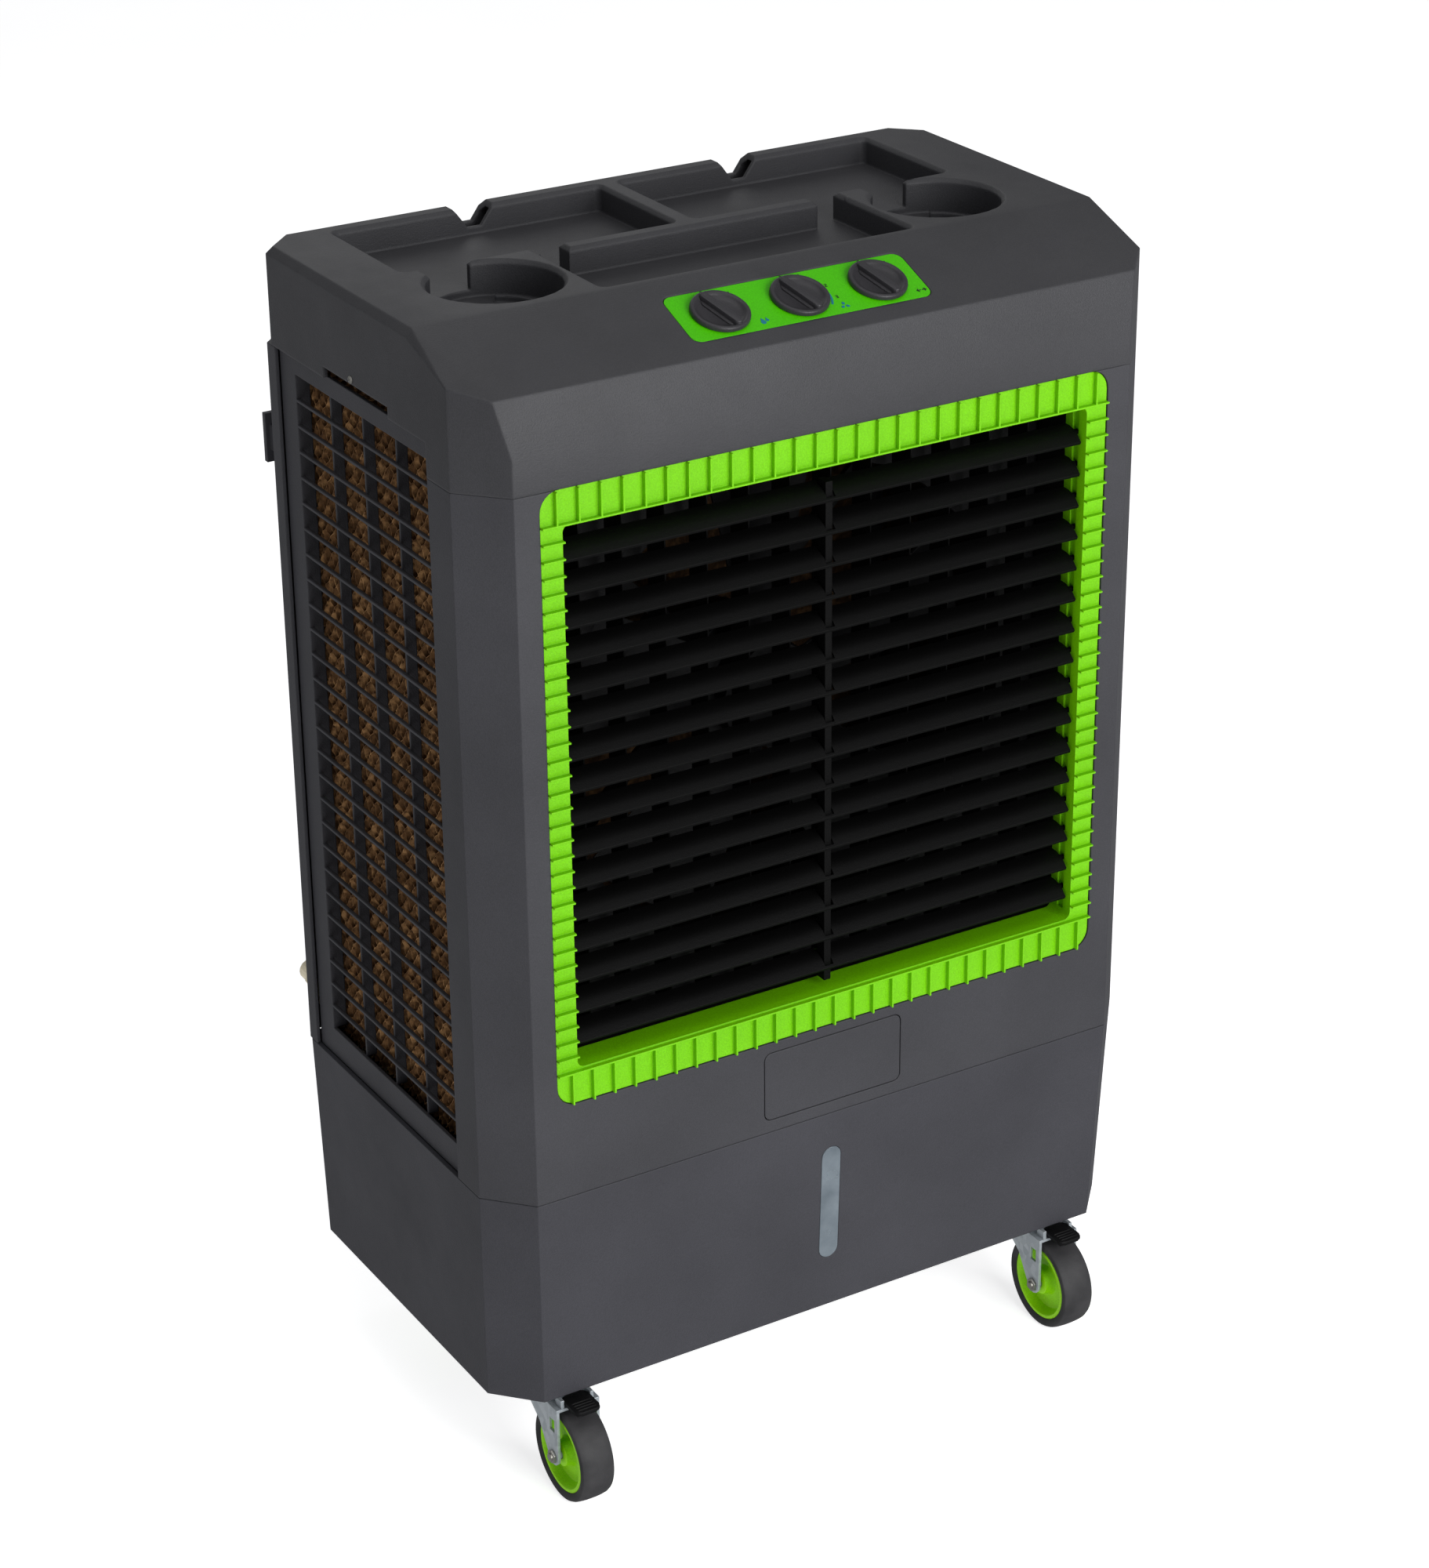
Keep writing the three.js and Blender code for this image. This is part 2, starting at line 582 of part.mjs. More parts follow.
function coverHull(inset, bottom) {
  const x = HALF_WIDTH - inset;
  const back = DEPTH - inset;
  const top = TOP - inset;
  const inner = CORNER_X - inset * CHAMFER_INSET;
  const browInner = BROW_CORNER_X - inset * CHAMFER_INSET;
  const chamferY = CORNER_Y + inset * CHAMFER_INSET;
  const topCorner = COVER_CORNER + 2;
  const points = [-1, 1].flatMap((s) => [
    [s * (x - inner), inset, bottom],
    [s * x, chamferY, bottom],
    [s * x, back - COVER_CORNER, bottom],
    [s * (x - COVER_CORNER), back, bottom],
    [s * (x - inner), inset, BROW_BEND],
    [s * (x - browInner), BROW_LEAN + inset * BROW_INSET, BROW_TOP - inset * BROW_INSET],
    [s * x, chamferY, BROW_TOP + BROW_CORNER_RISE - inset],
    [s * (x - TOP_EDGE), TOP_FRONT, top],
    [s * x, TOP_FRONT, top - TOP_EDGE],
    [s * x, back - COVER_CORNER, top - TOP_EDGE],
    [s * (x - COVER_CORNER), back, top - TOP_EDGE],
    [s * (x - TOP_EDGE), back - topCorner, top],
    [s * (x - topCorner), back - TOP_EDGE, top],
  ]);
  return hull(points);
}

// The hollows in the top, grown by a wall to make their linings.
function trayHollows(grow, floorDrop) {
  const trayFloor = TRAY_FLOOR - floorDrop;
  const cupFloor = CUP_FLOOR - floorDrop;
  const above = TOP + 5;
  const rear = (x0, x1) =>
    prismZ(rounded(x0 - grow, x1 + grow, TRAY_FRONT - grow, TRAY_BACK + grow, TRAY_RADIUS), trayFloor, above);
  const passage = (s) => {
    const [a, b] = [s * TRAY_RIB_HALF, s * FRONT_TRAY_HALF].sort((p, q) => p - q);
    return box(a - grow, b + grow, TRAY_RIB_FRONT - 20, TRAY_FRONT + 6, trayFloor, above);
  };
  const cup = (x) => rod(CUP_RADIUS + grow, [x, CUP_Y, cupFloor], [x, CUP_Y, above], 28);
  const slot = (x) => {
    const middle = x + HANDLE_SLOT_SHIFT;
    return box(middle - HANDLE_SLOT_HALF - grow, middle + HANDLE_SLOT_HALF + grow,
      CUP_Y + 20, TRAY_FRONT + 6, trayFloor, above);
  };
  return join(
    rear(-TRAY_HALF_WIDTH, -DIVIDER_HALF),
    rear(DIVIDER_HALF, TRAY_HALF_WIDTH),
    prismZ(rounded(-FRONT_TRAY_HALF - grow, FRONT_TRAY_HALF + grow, FRONT_TRAY_FRONT - grow,
      TRAY_RIB_FRONT + grow, TRAY_RADIUS), trayFloor, above),
    passage(-1),
    passage(1),
    cup(-CUP_X),
    cup(CUP_X),
    slot(-CUP_X),
    slot(CUP_X),
  );
}

const cordNotch = (x) => prismY(
  shapeOf([
    [x - CORD_NOTCH_FLOOR_HALF, CORD_NOTCH_FLOOR],
    [x + CORD_NOTCH_FLOOR_HALF, CORD_NOTCH_FLOOR],
    [x + CORD_NOTCH_TOP_HALF, TOP + 3],
    [x - CORD_NOTCH_TOP_HALF, TOP + 3],
  ]),
  TRAY_BACK - 6,
  DEPTH + 6,
);

// Pieces built flat, x across and y up the slope from its lower edge, laid on the front slope.
function onSlope(geometry) {
  return geometry.clone().rotateX(slopeAngle).translate(0, BROW_LEAN, BROW_TOP);
}

const knobMiddle = PLATE_START + KNOB_LIFT;
const knobX = [-KNOB_PITCH, 0, KNOB_PITCH];
const stemHoles = knobX.map((x) =>
  rod(KNOB_STEM + STEM_CLEARANCE, [x, knobMiddle, -30], [x, knobMiddle, 30], 8));

// Two short arcs on a cup holder's floor.
function cupRing(x) {
  return CUP_RING_ARCS.map(([from, to]) => {
    const s = new THREE.Shape();
    s.absarc(0, 0, CUP_RING_RADIUS, from, to, false);
    s.absarc(0, 0, CUP_RING_RADIUS - CUP_RING_WIDTH, to, from, true);
    return prismZ(s, CUP_FLOOR - 1, CUP_FLOOR + CUP_RING_HEIGHT).translate(x, CUP_Y, 0);
  });
}

// A finger gap in the skirt, over each side pad frame.
const fingerGap = (s) => {
  const [a, b] = [s * (HALF_WIDTH + 1), s * (HALF_WIDTH - COVER_WALL - 2)].sort((p, q) => p - q);
  return box(a, b, FINGER_FRONT, FINGER_BACK, SKIRT_BOTTOM - 1, SKIRT_BOTTOM + FINGER_HEIGHT);
};

// The rims of the hollows, bevelled outwards at the top.
function trayRims() {
  const flare = (outline) => hull([
    ...outline(0).getPoints(3).map((p) => [p.x, p.y, TOP - TRAY_EDGE]),
    ...outline(TRAY_EDGE + 1).getPoints(3).map((p) => [p.x, p.y, TOP + 1]),
  ]);
  const tray = (x0, x1, y0, y1) =>
    flare((grow) => rounded(x0 - grow, x1 + grow, y0 - grow, y1 + grow, TRAY_RADIUS + grow));
  const across = (x0, x1, y0, y1) => flare((grow) =>
    shapeOf([[x0 - grow, y0], [x1 + grow, y0], [x1 + grow, y1], [x0 - grow, y1]]));
  const cup = (x) => new THREE.CylinderGeometry(CUP_RADIUS + TRAY_EDGE + 1, CUP_RADIUS, TRAY_EDGE + 1, 28)
    .rotateX(Math.PI / 2)
    .translate(x, CUP_Y, TOP + (1 - TRAY_EDGE) / 2);
  const rims = [
    tray(-TRAY_HALF_WIDTH, -DIVIDER_HALF, TRAY_FRONT, TRAY_BACK),
    tray(DIVIDER_HALF, TRAY_HALF_WIDTH, TRAY_FRONT, TRAY_BACK),
    tray(-FRONT_TRAY_HALF, FRONT_TRAY_HALF, FRONT_TRAY_FRONT, TRAY_RIB_FRONT),
    across(-FRONT_TRAY_HALF, -TRAY_RIB_HALF, TRAY_RIB_FRONT, TRAY_FRONT),
    across(TRAY_RIB_HALF, FRONT_TRAY_HALF, TRAY_RIB_FRONT, TRAY_FRONT),
  ];
  for (const x of [-CUP_X, CUP_X]) {
    const middle = x + HANDLE_SLOT_SHIFT;
    rims.push(cup(x));
    rims.push(across(middle - HANDLE_SLOT_HALF, middle + HANDLE_SLOT_HALF, CUP_Y + CUP_RADIUS / 2, TRAY_FRONT));
  }
  return join(...rims);
}

const coverShell = cut(
  coverHull(0, COVER_SEAM),
  coverHull(COVER_WALL, COVER_SEAM - 1),
  box(-HALF_WIDTH - 1, HALF_WIDTH + 1, PANEL_RETURN_Y + GAP, DEPTH + 1, COVER_SEAM - 1, SKIRT_BOTTOM),
);
const cover = cut(
  join(
    coverShell,
    common(trayHollows(WALL, WALL), coverHull(0, COVER_SEAM)),
    onSlope(box(-PLATE_HALF - PLATE_BACKING, PLATE_HALF + PLATE_BACKING, PLATE_START - PLATE_BACKING,
      PLATE_START + PLATE_LENGTH + PLATE_BACKING, -PLATE_BACKING, -1)),
  ),
  trayHollows(0, 0),
  trayRims(),
  cordNotch(-CORD_NOTCH_X),
  cordNotch(CORD_NOTCH_X),
  onSlope(prismZ(rounded(-PLATE_HALF - 0.5, PLATE_HALF + 0.5, PLATE_START - 0.5,
    PLATE_START + PLATE_LENGTH + 0.5, PLATE_RADIUS), -PLATE_POCKET, 20)),
  ...stemHoles.map(onSlope),
  fingerGap(-1),
  fingerGap(1),
);
add("top_cover", join(cover, ...cupRing(-CUP_X), ...cupRing(CUP_X)), CHARCOAL);

// ---- Control plate and knobs ----
const plate = cut(
  prismZ(rounded(-PLATE_HALF, PLATE_HALF, PLATE_START, PLATE_START + PLATE_LENGTH, PLATE_RADIUS),
    GAP - PLATE_POCKET, GAP - PLATE_POCKET + PLATE_THICK),
  ...stemHoles,
);
add("control_plate", onSlope(plate), GREEN);

function knob() {
  const base = GAP - PLATE_POCKET + PLATE_THICK + 0.4;
  const dish = new THREE.LatheGeometry(
    [[0, base], [KNOB_RADIUS, base], [KNOB_RADIUS, base + KNOB_RIM - 1.5], [KNOB_RADIUS - 1.5, base + KNOB_RIM],
      [KNOB_RADIUS - 4, base + KNOB_RIM], [KNOB_RADIUS - 7, base + KNOB_DISH], [0, base + KNOB_DISH - 0.5]]
      .map(([r, z]) => new THREE.Vector2(r, z)),
    18,
  ).rotateX(Math.PI / 2);
  const gripEnd = KNOB_RADIUS - 2.5;
  const grip = box(-GRIP_HALF, GRIP_HALF, -gripEnd, gripEnd, base + 1, base + GRIP_HEIGHT)
    .rotateZ(radians(GRIP_TURN));
  return join(dish, grip, rod(KNOB_STEM, [0, 0, base - 16], [0, 0, base + 1], 8));
}

["pump_knob", "fan_speed_knob", "swing_knob"].forEach((name, i) => {
  add(name, onSlope(knob().translate(knobX[i], knobMiddle, 0)), CHARCOAL);
});

// ---- Fill door, hinged along its lower edge, with cheeks that make a chute ----
const cheekSide = shapeOf([
  [WALL - 1, DOOR_BOTTOM + 3],
  [DOOR_HINGE_Y + 8, DOOR_HINGE_Z + 1],
  [DOOR_HINGE_Y + 38, DOOR_HINGE_Z + 23],
  [DOOR_HINGE_Y + 32, DOOR_HINGE_Z + 35],
  [WALL - 1, DOOR_TOP - 5],
]);
const chuteFloor = shapeOf([
  [WALL - 1, DOOR_BOTTOM + 3],
  [DOOR_HINGE_Y + 8, DOOR_HINGE_Z + 1],
  [DOOR_HINGE_Y + 38, DOOR_HINGE_Z + 23],
  [DOOR_HINGE_Y + 36, DOOR_HINGE_Z + 26],
  [WALL - 1, DOOR_BOTTOM + 7],
]);
const door = join(
  prismY(rounded(-DOOR_HALF, DOOR_HALF, DOOR_BOTTOM, DOOR_TOP, DOOR_RADIUS), 0, WALL),
  prismX(cheekSide, -DOOR_HALF + 5, -DOOR_HALF + 8),
  prismX(cheekSide, DOOR_HALF - 8, DOOR_HALF - 5),
  prismX(chuteFloor, -DOOR_HALF + 6, DOOR_HALF - 6),
);
add("fill_door", door, CHARCOAL);

// ---- Pad frames and pads ----
// A grille in the plane y = 0 facing -y: a border crossed by thin bars, with columns of deep
// fins behind them.
function padFrame(halfWidth, gridX0, gridX1, columns) {
  const bottom = TANK_TOP + GAP;
  const top = SKIRT_BOTTOM - GAP;
  const plateShape = shapeOf([[-halfWidth, bottom], [halfWidth, bottom], [halfWidth, top], [-halfWidth, top]]);
  const barZ = (i) => GRID_BOTTOM + ((GRID_TOP - GRID_BOTTOM) * i) / (GRID_BARS + 1);
  for (let i = 0; i <= GRID_BARS; i++) {
    const z0 = i === 0 ? GRID_BOTTOM : barZ(i) + BAR_THICK / 2;
    const z1 = i === GRID_BARS ? GRID_TOP : barZ(i + 1) - BAR_THICK / 2;
    plateShape.holes.push(new THREE.Path([
      [gridX0, z0], [gridX0, z1], [gridX1, z1], [gridX1, z0],
    ].map(([a, b]) => new THREE.Vector2(a, b))));
  }
  const pieces = [prismY(plateShape, 0, WALL)];
  for (const [a, b] of [[gridX0 - WALL, gridX0], [gridX1, gridX1 + WALL]])
    pieces.push(box(a, b, WALL, FIN_DEPTH, GRID_BOTTOM, GRID_TOP));
  for (let i = 1; i < columns; i++) {
    const x = gridX0 + ((gridX1 - gridX0) * i) / columns;
    pieces.push(box(x - FIN_THICK / 2, x + FIN_THICK / 2, WALL, FIN_DEPTH, GRID_BOTTOM - 1, GRID_TOP + 1));
  }
  return join(...pieces);
}

const frameFront = PANEL_RETURN_Y + GAP;
const frameMiddle = (frameFront + FRAME_BACK) / 2;
const frameHalf = (FRAME_BACK - frameFront) / 2;
// On the left side the grille's own x runs towards the front.
const leftFrame = padFrame(frameHalf, frameMiddle - GRID_BACK, frameMiddle - GRID_FRONT, GRID_COLUMNS)
  .rotateZ(-Math.PI / 2)
  .translate(-HALF_WIDTH + FRAME_INSET, frameMiddle, 0);
add("left_pad_frame", leftFrame, CHARCOAL);
add("right_pad_frame", mirrored(leftFrame), CHARCOAL);

const padOuter = HALF_WIDTH - FRAME_INSET - FIN_DEPTH - 1;
const sidePad = box(-padOuter, -padOuter + PAD_THICK, frameFront + 4, FRAME_BACK - 4, PAD_BOTTOM, PAD_TOP);
add("left_pad", sidePad, PAD_BROWN);
add("right_pad", mirrored(sidePad), PAD_BROWN);

const rearFrame = padFrame(REAR_FRAME_HALF, -REAR_GRID_HALF, REAR_GRID_HALF, REAR_COLUMNS)
  .rotateZ(Math.PI)
  .translate(0, BODY_BACK - 1, 0);
add("rear_pad_frame", rearFrame, CHARCOAL);
const rearPadBack = BODY_BACK - 1 - FIN_DEPTH - 1;
add("rear_pad", box(-REAR_FRAME_HALF + 4, REAR_FRAME_HALF - 4, rearPadBack - PAD_THICK, rearPadBack,
  PAD_BOTTOM, PAD_TOP), PAD_BROWN);

// ---- Rear panel: two corner columns and a sill round the rear pad frame, with cord cleats ----
const columnOuter = [
  [-HALF_WIDTH, FRAME_BACK + GAP],
  [-HALF_WIDTH, BODY_BACK - 12],
  [-HALF_WIDTH + 12, BODY_BACK],
  [-REAR_FRAME_HALF - GAP, BODY_BACK],
  [-REAR_FRAME_HALF - GAP, BODY_BACK - WALL],
  [-HALF_WIDTH + 13.3, BODY_BACK - WALL],
  [-HALF_WIDTH + WALL, BODY_BACK - 13.3],
  [-HALF_WIDTH + WALL, FRAME_BACK + GAP],
];
const column = prismZ(shapeOf(columnOuter), TANK_TOP + GAP, SKIRT_BOTTOM - GAP);
const strapHalf = REAR_FRAME_HALF + STRAP_LAP;
const strap = (z0, z1) =>
  box(-strapHalf, strapHalf, BODY_BACK - STRAP_DEPTH, BODY_BACK - STRAP_DEPTH + STRAP_THICK, z0, z1);
const strapEnds = (z0, z1) => [-1, 1].map((s) => {
  const [a, b] = [s * (REAR_FRAME_HALF + 1), s * strapHalf].sort((p, q) => p - q);
  return box(a, b, BODY_BACK - STRAP_DEPTH, BODY_BACK - 1, z0, z1);
});
const cleat = (x) => [
  box(x - 5, x + 5, BODY_BACK - 1, REAR_REACH - 3, CLEAT_Z - 10.5, CLEAT_Z + 10.5),
  box(x - 9, x + 9, REAR_REACH - 5, REAR_REACH, CLEAT_Z - 20.5, CLEAT_Z + 20.5),
];
const rearPanel = cut(
  join(
    column,
    mirrored(column),
    strap(TANK_TOP + GAP, GRID_BOTTOM - 4),
    strap(GRID_TOP + 4, SKIRT_BOTTOM - GAP),
    ...strapEnds(TANK_TOP + GAP, GRID_BOTTOM - 4),
    ...strapEnds(GRID_TOP + 4, SKIRT_BOTTOM - GAP),
    ...cleat(-CLEAT_X),
    ...cleat(CLEAT_X),
  ),
  rod(INLET_HOLE, [INLET_X, BODY_BACK - 20, INLET_Z], [INLET_X, BODY_BACK + 20, INLET_Z]),
);
add("rear_panel", rearPanel, CHARCOAL);

// ---- Fan, motor and shroud ----
const aboutFan = (geometry) => geometry.translate(0, 0, FAN_Z);

function fanBlade() {
  const from = FAN_HUB_RADIUS - 6;
  const section = new THREE.Shape();
  section.moveTo(-BLADE_CHORD / 2, -1);
  section.quadraticCurveTo(0, 11, BLADE_CHORD / 2, -1);
  section.lineTo(BLADE_CHORD / 2, 1);
  section.quadraticCurveTo(0, 14, -BLADE_CHORD / 2, 1);
  const blade = new THREE.ExtrudeGeometry(section, {
    depth: FAN_RADIUS - from, steps: 3, bevelEnabled: false, curveSegments: 3,
  });
  const p = blade.attributes.position;
  for (let i = 0; i < p.count; i++) {
    const along = p.getZ(i) / (FAN_RADIUS - from);
    const pitch = radians(THREE.MathUtils.lerp(BLADE_ROOT_PITCH, BLADE_TIP_PITCH, along));
    const width = THREE.MathUtils.lerp(BLADE_ROOT_SHARE, 1, along);
    const c = p.getX(i) * width;
    const t = p.getY(i);
    p.setXYZ(i, c * Math.cos(pitch) - t * Math.sin(pitch), c * Math.sin(pitch) * 0.62 + t * Math.cos(pitch),
      from + p.getZ(i));
  }
  return blade;
}

const hubMiddle = FAN_FRONT + FAN_HUB_LENGTH / 2;
const fanBlades = [];
for (let i = 0; i < FAN_BLADES; i++)
  fanBlades.push(fanBlade().rotateY((2 * Math.PI * i) / FAN_BLADES).translate(0, hubMiddle - 3, 0));
const fan = cut(
  join(
    rod(FAN_HUB_RADIUS, [0, FAN_FRONT, 0], [0, FAN_FRONT + FAN_HUB_LENGTH, 0], 18),
    common(join(...fanBlades), rod(FAN_RADIUS, [0, SHROUD_Y, 0], [0, SHROUD_Y + 120, 0], 28)),
  ),
  rod(SHAFT_RADIUS + SHAFT_CLEARANCE, [0, FAN_FRONT + 5, 0], [0, FAN_FRONT + FAN_HUB_LENGTH + 1, 0], 12),
);
add("fan", aboutFan(fan), BLACK);

const motor = join(
  rod(MOTOR_RADIUS, [0, MOTOR_FRONT, 0], [0, MOTOR_FRONT + MOTOR_LENGTH, 0], 16),
  rod(SHAFT_RADIUS, [0, FAN_FRONT + 8, 0], [0, MOTOR_FRONT + 1, 0], 12),
);
add("fan_motor", aboutFan(motor), STEEL);

const shroudEnd = SHROUD_Y + SHROUD_LENGTH;
const armY = MOTOR_FRONT + 30;
const ring = (outer, inner, y0, y1, sides) =>
  cut(rod(outer, [0, y0, 0], [0, y1, 0], sides), rod(inner, [0, y0 - 1, 0], [0, y1 + 1, 0], sides));
const shroudArms = [];
for (let i = 0; i < 4; i++) {
  const turn = Math.PI / 4 + (Math.PI * i) / 2;
  const reach = SHROUD_RADIUS + 2;
  shroudArms.push(box(MOTOR_RADIUS + 1.5, reach, armY, armY + ARM_THICK, -ARM_HALF, ARM_HALF).rotateY(turn));
  shroudArms.push(box(reach - ARM_THICK, reach + 1, shroudEnd - 12, armY + ARM_THICK, -ARM_HALF, ARM_HALF)
    .rotateY(turn));
}
const plateHalf = OPENING_HALF + BEZEL_WALL - 1;
const plateHalfHeight = (OPENING_TOP - OPENING_BOTTOM) / 2 + BEZEL_WALL - 1;
const shroud = join(
  cut(
    box(-plateHalf, plateHalf, SHROUD_Y, SHROUD_Y + WALL, -plateHalfHeight, plateHalfHeight),
    rod(SHROUD_RADIUS, [0, SHROUD_Y - 5, 0], [0, SHROUD_Y + 9, 0], 28),
  ),
  ring(SHROUD_RADIUS + WALL, SHROUD_RADIUS, SHROUD_Y, shroudEnd, 28),
  ring(MOTOR_RADIUS + 4, MOTOR_RADIUS + 0.6, armY, armY + 12, 16),
  ...shroudArms,
);
add("fan_shroud", aboutFan(shroud), BLACK);

// ---- Water circuit: pump, riser, distributor over the pads, float valve and its hose inlet ----
// A pipe of straight runs with a ball at each bend.
function pipe(points, radius) {
  const runs = [];
  for (let i = 1; i < points.length; i++) {
    runs.push(rod(radius, points[i - 1], points[i], 8));
    if (i < points.length - 1)
      runs.push(new THREE.SphereGeometry(radius * 1.02, 8, 4).translate(...points[i]));
  }
  return runs;
}

const hexagon = [];
for (let i = 0; i < 6; i++)
  hexagon.push([
    INLET_X + NUT_RADIUS * Math.cos((i * Math.PI) / 3),
    INLET_Z + NUT_RADIUS * Math.sin((i * Math.PI) / 3),
  ]);
const waterCircuit = join(
  box(PUMP_X - PUMP_HALF, PUMP_X + PUMP_HALF, PUMP_Y - PUMP_HALF, PUMP_Y + PUMP_HALF,
    TANK_FLOOR + GAP, PUMP_TOP),
  ...pipe([[PUMP_X, PUMP_Y, PUMP_TOP - 2], [PUMP_X, PUMP_Y, ELBOW_Z], [RISER_X, RISER_Y, ELBOW_Z],
    [RISER_X, RISER_Y, DISTRIBUTOR_Z]], PIPE),
  ...pipe([[RISER_X, DISTRIBUTOR_FRONT, DISTRIBUTOR_Z], [RISER_X, RISER_Y, DISTRIBUTOR_Z],
    [-RISER_X, RISER_Y, DISTRIBUTOR_Z], [-RISER_X, DISTRIBUTOR_FRONT, DISTRIBUTOR_Z]], PIPE),
  box(INLET_X - 11, RISER_X + 4, RISER_Y - 7, RISER_Y + 9, INLET_Z - 12, INLET_Z + 12),
  rod(8, [INLET_X, RISER_Y, INLET_Z], [INLET_X, BODY_BACK + 3, INLET_Z]),
  prismY(shapeOf(hexagon), BODY_BACK + GAP, BODY_BACK + 14),
  rod(INLET_RADIUS, [INLET_X, BODY_BACK + 10, INLET_Z], [INLET_X, REAR_REACH, INLET_Z]),
);
add("water_circuit", waterCircuit, OFF_WHITE);

// ---- Casters ----
function casterFork(hasBrake) {
  const crownBottom = FORK_CROWN_TOP - FORK_SHEET;
  const legShape = new THREE.Shape();
  legShape.moveTo(-FORK_FRONT, FORK_CROWN_TOP);
  legShape.lineTo(-FORK_FRONT, AXLE_Z);
  legShape.absarc(-CASTER_TRAIL, AXLE_Z, FORK_FRONT - CASTER_TRAIL, Math.PI, 2 * Math.PI - 0.2);
  legShape.lineTo(-6, AXLE_Z + 22);
  legShape.lineTo(FORK_BACK, crownBottom - 6);
  legShape.lineTo(FORK_BACK, FORK_CROWN_TOP);
  const window = new THREE.Path([
    [-CASTER_TRAIL - 3, -36], [-CASTER_TRAIL + 5, -36], [-CASTER_TRAIL + 5, -24], [-CASTER_TRAIL - 3, -24],
  ].map(([a, b]) => new THREE.Vector2(a, b)));
  legShape.holes.push(window);
  const outer = FORK_INNER + FORK_SHEET;
  const pieces = [
    prismX(legShape, -outer, -FORK_INNER),
    prismX(legShape, FORK_INNER, outer),
    box(-outer, outer, -FORK_FRONT, FORK_BACK, crownBottom, FORK_CROWN_TOP),
    rod(AXLE_RADIUS, [-outer - 2, -CASTER_TRAIL, AXLE_Z], [outer + 2, -CASTER_TRAIL, AXLE_Z], 8),
    rod(RACE_RADIUS, [0, 0, crownBottom + 0.5], [0, 0, -2], 14),
    rod(STEM_RADIUS, [0, 0, -3], [0, 0, STEM_TOP], 10),
  ];
  if (hasBrake)
    for (const s of [-1, 1])
      pieces.push(box(s * BRACKET_X - 1.5, s * BRACKET_X + 1.5, -CASTER_TRAIL - 7, -CASTER_TRAIL + 3,
        crownBottom + 0.5, -5));
  return join(...pieces);
}

// Tyre and dished hub as one turned solid about x.
function casterWheel() {
  const w = WHEEL_HALF_WIDTH;
  const profile = [
    [4.4, -14], [9, -14], [9, -5], [26, -4], [30, -w + 0.5], [WHEEL_RADIUS - 3, -w],
    [WHEEL_RADIUS, -w + 5], [WHEEL_RADIUS, w - 5], [WHEEL_RADIUS - 3, w],
    [30, w - 0.5], [26, 4], [9, 5], [9, 14], [4.4, 14], [4.4, -14],
  ].map(([r, a]) => new THREE.Vector2(r, a));
  return new THREE.LatheGeometry(profile, 18).rotateZ(-Math.PI / 2);
}

const pedal = hull([-PEDAL_HALF, PEDAL_HALF].flatMap((x) => [
  [x, -CASTER_TRAIL + 2, -9.5],
  [x, -CASTER_TRAIL + 2, -6],
  [x, -CASTER_TRAIL - 28, -12],
  [x, -CASTER_TRAIL - 28, -7],
  [x, -CASTER_TRAIL - 14, -5],
]));

const cornerNames = ["front_left", "front_right", "rear_left", "rear_right"];
casterSpots.forEach(([x, y], i) => {
  const caster = new THREE.Group();
  caster.position.set(x, y, 0);
  root.add(caster);
  const isFront = i < 2;
  add("caster_fork_" + cornerNames[i], casterFork(isFront), ZINC, caster);
  add("caster_wheel_" + cornerNames[i], casterWheel(), HUB_LIME, caster).position.set(0, -CASTER_TRAIL, AXLE_Z);
  if (isFront) add("brake_pedal_" + cornerNames[i], pedal, BLACK, caster);
});

export default root;
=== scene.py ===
"""Portable evaporative cooler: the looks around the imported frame.

Axes are the frame's own: +Z up, front towards -Y. The camera, lights, materials and floor are
given in metres. Pieces are given in millimetres and turned to metres by MM.
"""

import json
import math

import bmesh
import bpy
import numpy as np
from mathutils import Matrix, Vector


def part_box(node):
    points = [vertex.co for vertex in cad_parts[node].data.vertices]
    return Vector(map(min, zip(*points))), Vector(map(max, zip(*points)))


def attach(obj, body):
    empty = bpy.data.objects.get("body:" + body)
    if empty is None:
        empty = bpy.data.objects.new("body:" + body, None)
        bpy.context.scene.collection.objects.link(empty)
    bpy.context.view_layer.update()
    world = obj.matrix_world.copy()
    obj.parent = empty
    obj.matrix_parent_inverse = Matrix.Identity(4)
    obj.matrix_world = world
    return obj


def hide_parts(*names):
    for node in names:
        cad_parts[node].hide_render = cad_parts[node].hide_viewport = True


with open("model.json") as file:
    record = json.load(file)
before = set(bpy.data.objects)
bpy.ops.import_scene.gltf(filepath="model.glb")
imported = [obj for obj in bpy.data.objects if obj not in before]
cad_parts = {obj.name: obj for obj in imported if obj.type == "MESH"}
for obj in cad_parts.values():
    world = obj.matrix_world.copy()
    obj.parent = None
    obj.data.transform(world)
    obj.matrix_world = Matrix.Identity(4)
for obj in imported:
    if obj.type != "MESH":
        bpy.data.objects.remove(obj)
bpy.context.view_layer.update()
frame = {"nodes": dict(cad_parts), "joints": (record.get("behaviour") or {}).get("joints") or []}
MM = 0.001


# ---- Camera and light ----
VIEW_AZIMUTH = -30.97
VIEW_ELEVATION = 24.99
VIEW_DISTANCE = 3.0506
VIEW_ROLL = -0.0101
VIEW_TARGET = Vector((0.0, -0.0011, 0.5412))
SENSOR = 36.0
LENS = 85.5144
LENS_SHIFT = (-0.00155, -0.01885)
CLIP_END = 60

